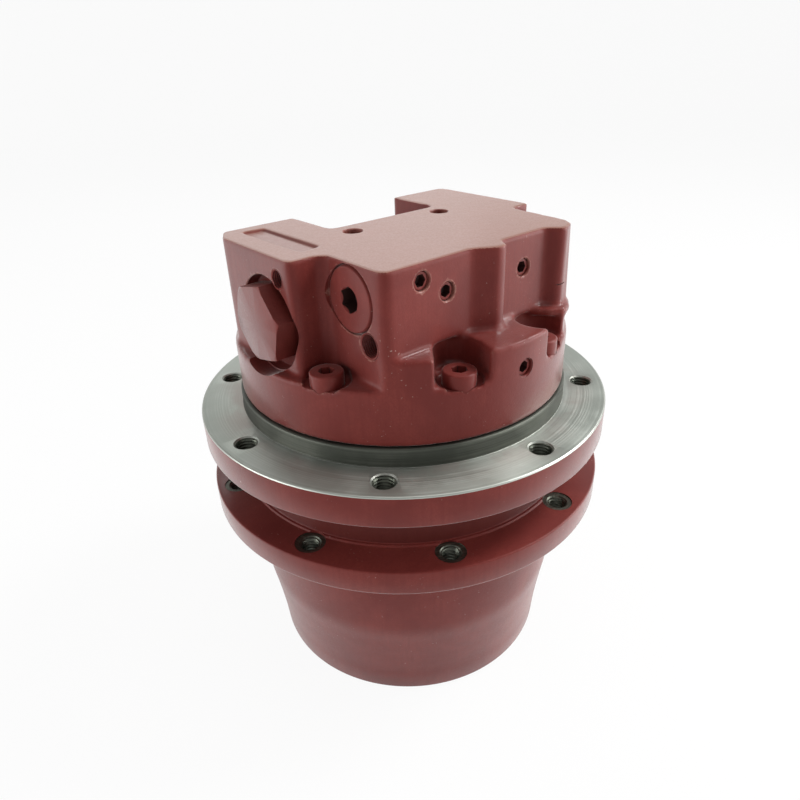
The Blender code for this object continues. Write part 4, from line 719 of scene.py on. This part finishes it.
speckle = noise(cast_skin, place, 1150.0, 2.0, 0.7)
feed(cast_skin, between(cast_skin, speckle, 0.36, 0.64), skin_out, "Speckle")
print("cast skin:", len(cast_skin.nodes), "nodes")

# %% [markdown]
# The second effect finds the outer edges, where the coat is thin and rubbed pale and is lightened as a painted
# highlight too, and the hollows, which are darkened as painted shade and gather gloss. The shader's pointiness
# gives both, so no mask has to be painted by hand.

# %% Effect: worn edges with painted highlight, hollows with painted shade
edge_wear_highlight_and_hollow_shade, edge_hollow_in, edge_hollow_out = effect("edge_wear_highlight_and_hollow_shade", ["Edge", "Hollow"], [("Start", 0.53), ("Full", 0.60)])
place = add(edge_wear_highlight_and_hollow_shade, "TexCoord").outputs["Object"]
sharpness = add(edge_wear_highlight_and_hollow_shade, "NewGeometry").outputs["Pointiness"]
rubbed = between(edge_wear_highlight_and_hollow_shade, noise(edge_wear_highlight_and_hollow_shade, place, 160.0, 4.0, 0.65), 0.30, 0.62, 0.25, 1.0)
edge = add(edge_wear_highlight_and_hollow_shade, "MapRange", {"Value": sharpness, "From Min": edge_hollow_in["Start"],
                                    "From Max": edge_hollow_in["Full"]}).outputs["Result"]
feed(edge_wear_highlight_and_hollow_shade, times(edge_wear_highlight_and_hollow_shade, edge, rubbed, True), edge_hollow_out, "Edge")
feed(edge_wear_highlight_and_hollow_shade, between(edge_wear_highlight_and_hollow_shade, sharpness, 0.492, 0.455), edge_hollow_out, "Hollow")
print("worn edges:", len(edge_wear_highlight_and_hollow_shade.nodes), "nodes")

# %% [markdown]
# On turned faces the tool leaves fine rings round the axis. The distance from the axis drives a thin
# band of noise, broken up a little along the ring, for both tone and bump.

# %% Effect: turning marks
turning_marks, marks_in, marks_out = effect("turning_marks", ["Height", "Tone", "Distance", "Level"],
                                            [("Rings per metre", 900.0)])
place = add(turning_marks, "TexCoord").outputs["Object"]
parts = add(turning_marks, "SeparateXYZ", {0: place}).outputs
flat = add(turning_marks, "CombineXYZ", {"X": parts["X"], "Y": parts["Y"]}).outputs[0]
distance = add(turning_marks, "VectorMath", {0: flat}, operation="LENGTH").outputs["Value"]
across = times(turning_marks, math_node(turning_marks, "ADD", distance, parts["Z"]),
               marks_in["Rings per metre"])
rings = add(turning_marks, "TexNoise", {"W": across, "Scale": 1.0, "Detail": 3.0},
            noise_dimensions="1D").outputs["Fac"]
broken = between(turning_marks, noise(turning_marks, place, 45.0, 3.0), 0.25, 0.7, 0.5, 1.2)
feed(turning_marks, rings, marks_out, "Height")
feed(turning_marks, times(turning_marks, rings, broken), marks_out, "Tone")
feed(turning_marks, distance, marks_out, "Distance")
feed(turning_marks, parts["Z"], marks_out, "Level")
print("turning marks:", len(turning_marks.nodes), "nodes")

# %% [markdown]
# ## Red paint
# One function mixes the paint, because castings, screws and turned flanges carry the same coat over
# different metal. The coat is satin: its roughness wanders, and the pebbles show through as bump.
# Two things of the real paint are kept apart from its colour: a haze that whitens faces seen at a slant, made
# by a clear coat that grows with the slant, and a pale film on the flat top of the block, which is dust and
# also a painted sheen.

# %% Red paint
PAINT_DEEP = (0.150, 0.022, 0.018, 1)
PAINT_MIDDLE = (0.205, 0.035, 0.028, 1)
# The rubbed colour is worn paint on the edges and also a painted highlight there.
PAINT_RUBBED_AND_HIGHLIGHT = (0.430, 0.215, 0.170, 1)
# The next colour is painted shade, laid into hollows, recesses and the groove between the flanges.
PAINT_SHADE = (0.060, 0.010, 0.008, 1)
DUST = (0.62, 0.50, 0.45, 1)
# The top film is dust and also a painted sheen that lightens the flat top.
TOP_DUST_AND_SHEEN = (0.335, 0.172, 0.126, 1)


def surface(name, roughness, metallic, bump_strength):
    """A new material with its shader, a bump node and the output, ready to be linked."""
    finish = bpy.data.materials.new(name)
    finish.use_nodes = True
    tree = finish.node_tree
    shader = tree.nodes["Principled BSDF"]
    shader.inputs["Roughness"].default_value = roughness
    shader.inputs["Metallic"].default_value = metallic
    bump = add(tree, "Bump", {"Strength": bump_strength, "Distance": 0.0004})
    feed(tree, bump.outputs["Normal"], shader, "Normal")
    return finish, tree, shader, bump


def red_paint(name, pebbles, grain, edge_wear_and_highlight, top_dust_and_sheen=0.0, bump_strength=0.22, gloss=0.0, grime=0.0,
              haze=0.5, sheen=0.34):
    """Red-brown coat over iron. The shares say how coarse the iron is and how far edges are rubbed pale and
    lightened as a painted highlight.
    """
    finish, tree, shader, bump = surface(name, 0.45, 0.0, bump_strength)
    for socket, value in (("Specular IOR Level", 0.20), ("Sheen Weight", sheen), ("Sheen Roughness", 0.30),
                          ("Coat Roughness", 0.22), ("Sheen Tint", (1.0, 0.92, 0.89, 1))):
        shader.inputs[socket].default_value = value
    skin = use(tree, cast_skin, Pebbles=pebbles, Grain=grain)
    edge_hollow = use(tree, edge_wear_highlight_and_hollow_shade)
    tone = mixed(tree, skin["Patches"], PAINT_DEEP, PAINT_MIDDLE)
    # Hollows are darkened here as painted shade, and rubbed edges are lightened as wear and painted highlight.
    for mask, share, colour in ((skin["Runs"], 0.45, PAINT_DEEP), (edge_hollow["Hollow"], 0.30, PAINT_SHADE),
                                (edge_hollow["Edge"], edge_wear_and_highlight, PAINT_RUBBED_AND_HIGHLIGHT), (skin["Dust"], 0.45, DUST),
                                (skin["Speckle"], 0.45, PAINT_DEEP)):
        tone = mixed(tree, times(tree, mask, share), tone, colour)
    # This darker paint is painted shade, for sheltered recesses and the groove between the flanges.
    if grime:
        tone = mixed(tree, between(tree, skin["Patches"], 0.0, 1.0, 0.75 * grime, grime), tone, PAINT_SHADE)
    # The pale film on upward faces at the top is dust and also a painted sheen.
    if top_dust_and_sheen:
        normal = add(tree, "NewGeometry").outputs["Normal"]
        upward = add(tree, "SeparateXYZ", {0: normal}).outputs["Z"]
        level = between(tree, use(tree, turning_marks)["Level"], BLOCK_TOP - 0.0025, BLOCK_TOP - 0.0008)
        film = times(tree, between(tree, upward, 0.70, 0.98), level)
        patchy = between(tree, skin["Speckle"], 0.0, 1.0, 0.9 * top_dust_and_sheen, top_dust_and_sheen)
        film = times(tree, film, patchy)
        tone = mixed(tree, film, tone, TOP_DUST_AND_SHEEN)
    feed(tree, tone, shader, "Base Color")
    feed(tree, skin["Height"], bump, "Height")
    feed(tree, between(tree, skin["Speckle"], 0.0, 1.0, 0.49, 0.41), shader, "Roughness")
    grazing = between(tree, add(tree, "LayerWeight", {"Blend": 0.5}).outputs["Facing"], 0.24, 0.62, 0.0, haze)
    if top_dust_and_sheen:
        grazing = times(tree, grazing, between(tree, film, 0.0, 1.0, 1.0, 0.35))
    coat = math_node(tree, "MAXIMUM", times(tree, edge_hollow["Hollow"], gloss), grazing)
    feed(tree, coat, shader, "Coat Weight")
    return finish


paint_on_casting = red_paint("red_oxide_on_casting", 0.8, 0.35, 0.55, top_dust_and_sheen=0.75, bump_strength=0.35,
                             gloss=1.0, haze=0.85)
paint_on_screws = red_paint("red_oxide_on_screws", 0.2, 0.25, 0.0, bump_strength=0.2)
paint_on_turned = red_paint("red_oxide_on_turned_iron", 0.35, 0.45, 0.0, haze=1.0)
paint_on_cup = red_paint("red_oxide_on_cup", 0.5, 0.45, 0.0, bump_strength=0.26)
# The recess and groove paints are darker as painted shade.
paint_with_recess_shade = red_paint("red_oxide_with_recess_shade", 0.3, 0.45, 0.0, grime=0.30, haze=0.05, sheen=0.05)
paint_with_groove_shade = red_paint("red_oxide_with_groove_shade", 0.3, 0.45, 0.0, grime=0.62)
print("paints:", [item.name for item in bpy.data.materials if item.name.startswith("red_oxide_")])

# %% [markdown]
# ## Bare steel
# The frame flange is turned bright and has dulled to a greenish grey, with a film of paint mist near the
# block. The spigot ring below the block is darker, and the threads are dark with cutting oil.

# %% Bare steel
def steel(name, colour, shade, roughness, metallic=0.85, mist=0.0, rings=900.0):
    """Turned steel with rings, stains and, if asked, a mist of paint towards the block."""
    finish, tree, shader, bump = surface(name, roughness, metallic, bump_strength=0.12)
    marks = use(tree, turning_marks, **{"Rings per metre": rings})
    skin = use(tree, cast_skin, Pebbles=0.2, Grain=0.5)
    tone = mixed(tree, between(tree, marks["Tone"], 0.25, 0.75), shade, colour)
    tone = mixed(tree, times(tree, skin["Patches"], 0.30), tone, shade)
    if mist:
        near = between(tree, marks["Distance"], 0.0985, 0.0805)
        film = times(tree, near, between(tree, skin["Patches"], 0.1, 1.0, 0.15 * mist, mist))
        tone = mixed(tree, film, tone, PAINT_MIDDLE)
        feed(tree, between(tree, film, 0.0, 1.0, metallic, 0.0), shader, "Metallic")
    feed(tree, tone, shader, "Base Color")
    feed(tree, marks["Height"], bump, "Height")
    feed(tree, between(tree, marks["Tone"], 0.2, 0.8, roughness - 0.06, roughness + 0.08), shader, "Roughness")
    return finish


flange_steel = steel("turned_flange_steel", (0.46, 0.49, 0.45, 1), (0.35, 0.38, 0.34, 1), 0.44, mist=0.28)
spigot_steel = steel("spigot_steel", (0.095, 0.100, 0.083, 1), (0.050, 0.054, 0.044, 1), 0.45, 0.7)
# The chamfer steel is lighter than the flange: a bare edge, lightened as a painted highlight.
chamfer_highlight = steel("bright_edge_steel", (0.52, 0.54, 0.50, 1), (0.42, 0.44, 0.40, 1), 0.42)
bore_steel = steel("oiled_bore_steel", (0.20, 0.21, 0.17, 1), (0.10, 0.11, 0.09, 1), 0.38)
# The socket steel is near black: dirt and painted shade deep in the sockets.
socket_dirt_and_shade = steel("dirty_shaded_socket_steel", (0.055, 0.013, 0.010, 1), (0.028, 0.008, 0.006, 1), 0.60, 0.0)
print("steels:", [item.name for item in bpy.data.materials if item.name.endswith("_steel")])

# %% [markdown]
# ## Who wears what
# A casting changes its finish where the tool or the brush went, and darker paint stands in as painted shade
# where it is sheltered, so each face picks its finish by its place:
# bare steel on the milled flange, paint on its rim, oiled steel in the bores, dirt and painted shade in the
# sockets, painted shade in the scoops and the groove.
# Faces could be chosen by hand, but a rule in numbers is sure to give the same result again.

# %% Finishes on the castings
def finish_faces(piece, finishes, rule):
    """Give every face the finish that a rule chooses by its middle point and normal."""
    piece.data.materials.clear()
    for finish in finishes:
        piece.data.materials.append(finish)
    for face in piece.data.polygons:
        face.material_index = finishes.index(rule(face.center, face.normal))


def spindle_rule(middle, normal):
    """Flange top, spigot, rim, bores and the rest of the spindle."""
    out = math.hypot(middle.x, middle.y)
    # The outer chamfer takes the lighter steel, a painted highlight.
    if middle.z > FRAME_FACE - 0.0007 and out > 0.0993:
        return chamfer_highlight
    if abs(middle.z - FRAME_FACE) < 0.0007 and out > 0.0803:
        return flange_steel
    if middle.z > FRAME_FACE - 0.0007 and out > 0.0560:
        return spigot_steel
    if out > 0.0990 or (middle.z < FRAME_FLANGE_LOW + 0.0012 and out > 0.0715):
        return paint_on_turned
    return bore_steel


def hub_rule(middle, normal):
    """Paint outside, oiled steel in bores and holes, and a darker paint as painted shade on the neck between
    the flanges.
    """
    out = math.hypot(middle.x, middle.y)
    in_hole = SPROCKET_FLANGE_LOW + 0.0005 < middle.z < SPROCKET_FLANGE_TOP - 0.0001 and 0.0835 < out < 0.0985
    if in_hole or (out < 0.0721 and normal.z < 0.9 and middle.z > 0.0005):
        return bore_steel
    # The neck between the flanges takes the darker paint as painted shade.
    if middle.z > SPROCKET_FLANGE_TOP + 0.0012:
        return paint_with_groove_shade
    return paint_on_cup if middle.z < SPROCKET_FLANGE_LOW - 0.0004 else paint_on_turned


finish_faces(spindle, [flange_steel, spigot_steel, chamfer_highlight, bore_steel, paint_on_turned], spindle_rule)
finish_faces(hub, [paint_on_turned, bore_steel, paint_with_groove_shade, paint_on_cup], hub_rule)
for piece, finish in ((frame_threads, bore_steel), (sprocket_threads, bore_steel),
                      (block_threads, paint_on_screws)):
    finish_faces(piece, [finish], lambda middle, normal: finish)


def block_rule(middle, normal):
    """The milled scoops round the caps take a darker paint, a painted shade, and less haze than the open faces.
    """
    out = math.hypot(middle.y - SCOOP_CENTRE[0], middle.z - SCOOP_CENTRE[1])
    in_left = LEFT_X + 0.0005 < middle.x < left_floor + 0.0003
    in_right = right_floor - 0.0003 < middle.x < RIGHT_X - 0.0005
    return paint_with_recess_shade if (in_left or in_right) and out < SCOOP_RADIUS + 0.0002 else paint_on_casting


def cap_rule(middle, normal):
    """The face of a cap is open, and its six sides, sheltered by the scoop, take the darker paint as painted
    shade.
    """
    return paint_on_turned if abs(normal.x) > 0.3 else paint_with_recess_shade


finish_faces(valve_block, [paint_on_casting, paint_with_recess_shade], block_rule)
for piece in caps:
    finish_faces(piece, [paint_on_turned, paint_with_recess_shade], cap_rule)


def socket_rule(axis, centre, depth, radius, face):
    """Dirt and painted shade on the faces of a socket: near the axis of the fastener and below its face."""
    others = [index for index in range(3) if index != axis]

    def rule(middle, normal):
        out = math.hypot(*(middle[index] - centre[index] for index in others))
        below = (middle[axis] - centre[axis]) * face
        return socket_dirt_and_shade if out < radius and -0.0070 < below < -depth else paint_on_screws
    return rule


for piece, angle in zip(screws, SCREW_ANGLES):
    centre = (SCREW_CIRCLE * math.cos(angle), SCREW_CIRCLE * math.sin(angle), HEAD_TOP)
    finish_faces(piece, [paint_on_screws, socket_dirt_and_shade], socket_rule(2, centre, 0.0010, 0.0036, 1))
for piece, (way, place) in zip(gauge_plugs, gauge_faces):
    finish_faces(piece, [paint_on_screws, socket_dirt_and_shade], socket_rule(1, place, PLUG_DEPTH + 0.0004, 0.0030, -1))
finish_faces(speed_plug, [paint_on_screws, socket_dirt_and_shade], socket_rule(0, speed_face[1], 0.0008, 0.0060, -1))
print("finishes on the block:", [item.name for item in valve_block.data.materials])

# %% [markdown]
# The solids that the camera hardly sees keep their shape and still get a worked finish each: ground steel
# for shafts and rings, blackened steel for screws and clips, gear steel, bronze and seal rubber.

# %% Finishes on the solids inside
def rubber(name):
    """Dull black seal rubber with a fine grain."""
    finish, tree, shader, bump = surface(name, 0.65, 0.0, 0.3)
    skin = use(tree, cast_skin, Pebbles=0.1, Grain=0.8)
    tone = mixed(tree, skin["Patches"], (0.012, 0.012, 0.012, 1), (0.028, 0.027, 0.026, 1))
    feed(tree, tone, shader, "Base Color")
    feed(tree, skin["Height"], bump, "Height")
    return finish


inner_finishes = {
    "red_oxide_paint": paint_on_turned,
    "machined_steel": steel("ground_steel", (0.50, 0.51, 0.50, 1), (0.36, 0.37, 0.36, 1), 0.34, 1.0,
                            rings=2200.0),
    "dark_steel": steel("blackened_steel", (0.13, 0.13, 0.12, 1), (0.06, 0.06, 0.06, 1), 0.45, 0.9),
    "gear_steel": steel("gear_steel", (0.36, 0.37, 0.38, 1), (0.24, 0.25, 0.26, 1), 0.36, 1.0, rings=1500.0),
    "bronze": steel("bearing_bronze", (0.52, 0.33, 0.15, 1), (0.38, 0.23, 0.10, 1), 0.40, 1.0),
    "seal_rubber": rubber("seal_rubber"),
}
kept = 0
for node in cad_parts.values():
    for slot in node.material_slots:
        finish = slot.material and inner_finishes.get(slot.material.name.split(".")[0])
        if finish:
            slot.material = finish
            kept += 1
print("slots on the solids given a finish:", kept)

# %% [markdown]
# ## Camera
# The place, turn and lens of the camera were worked out from the photograph: from the circles of the two
# flanges and the square edges of the block. A guessed camera would hide small errors of shape.

# %% Camera
CAMERA_PLACE = (-0.188148, -0.228233, 0.290432)
CAMERA_AZIMUTH = math.radians(39.180)
CAMERA_ELEVATION = math.radians(28.527)
CAMERA_ROLL = math.radians(-2.102)
camera_data = bpy.data.cameras.new("camera")
camera_data.lens = 29.003
camera_data.clip_start = 0.01
camera = bpy.data.objects.new("camera", camera_data)
bpy.context.scene.collection.objects.link(camera)
camera.matrix_world = (Matrix.Translation(CAMERA_PLACE)
                       @ Matrix.Rotation(-CAMERA_AZIMUTH, 4, "Z")
                       @ Matrix.Rotation(math.pi / 2 - CAMERA_ELEVATION, 4, "X")
                       @ Matrix.Rotation(CAMERA_ROLL, 4, "Z"))
bpy.context.scene.camera = camera
print("camera at:", CAMERA_PLACE, "lens:", camera_data.lens)

# %% [markdown]
# ## Floor and light
# The photograph has a plain white ground, so the floor curves up into a backdrop. Cameras, metal and glass
# see it as white, mixed with a little of its own shading so that the drive's shadow stays.

# %% Floor
WALL_IN, WALL_OUT, WALL_TOP = 3.0, 3.02, 1.28
cove_section = [(0, 0), (2.6, 0), (2.78, 0.04), (2.92, 0.14), (WALL_IN, 0.32), (WALL_IN, WALL_TOP),
                (WALL_OUT, WALL_TOP), (WALL_OUT, -0.02), (0, -0.02)]
cove = smoothed(turned("floor_cove", cove_section, 96), 40)
ground = bpy.data.materials.new("white_ground")
ground.use_nodes = True
tree = ground.node_tree
tree.nodes.remove(tree.nodes["Principled BSDF"])
ray = add(tree, "LightPath").outputs
seen = math_node(tree, "MAXIMUM", math_node(tree, "MAXIMUM", ray["Is Camera Ray"], ray["Is Glossy Ray"]),
                 ray["Is Transmission Ray"])
matt = add(tree, "BsdfDiffuse", {"Color": (0.82, 0.82, 0.82, 1)}).outputs[0]
white = add(tree, "Emission", {"Color": (1, 1, 1, 1), "Strength": 1.0}).outputs[0]
mix = add(tree, "MixShader", {0: times(tree, seen, 0.93), 1: matt, 2: white}).outputs[0]
feed(tree, mix, tree.nodes["Material Output"], "Surface")
cove.data.materials.append(ground)
print("floor:", count_triangles(cove), "triangles")

# %% [markdown]
# The photograph was lit by soft boxes. The key stands high on the right and casts the shadow between the
# flanges, one panel a side fills the walls, and the back panel gives the bare flange its sheen.

# %% Lights
def panel(name, place, width, height, power):
    """A soft panel that looks at the drive."""
    lamp = bpy.data.lights.new(name, "AREA")
    lamp.shape = "RECTANGLE"
    lamp.size, lamp.size_y = width, height
    lamp.energy = power
    holder = bpy.data.objects.new(name, lamp)
    holder.location = place
    holder.rotation_euler = (Vector((0, 0, 0.12)) - Vector(place)).to_track_quat("-Z", "Y").to_euler()
    bpy.context.scene.collection.objects.link(holder)


panel("back_panel", (0.60, 1.05, 0.95), 0.9, 0.7, 2.8)
panel("left_panel", (-1.00, 0.35, 0.30), 0.7, 0.6, 5.6)
panel("right_panel", (0.72, -0.77, 0.32), 0.7, 0.6, 6.2)
panel("key_panel", (0.85, -0.42, 1.05), 0.42, 0.42, 13.0)
panel("top_panel", (0.10, 0.00, 1.30), 0.8, 0.8, 2.5)
world = bpy.data.worlds.new("studio")
bpy.context.scene.world = world
world.use_nodes = True
sky = world.node_tree.nodes["Background"].inputs
sky["Color"].default_value = (1, 1, 1, 1)
sky["Strength"].default_value = 0.33
bpy.context.scene.view_settings.view_transform = "Standard"
print("lamps:", [lamp.name for lamp in bpy.data.lights])
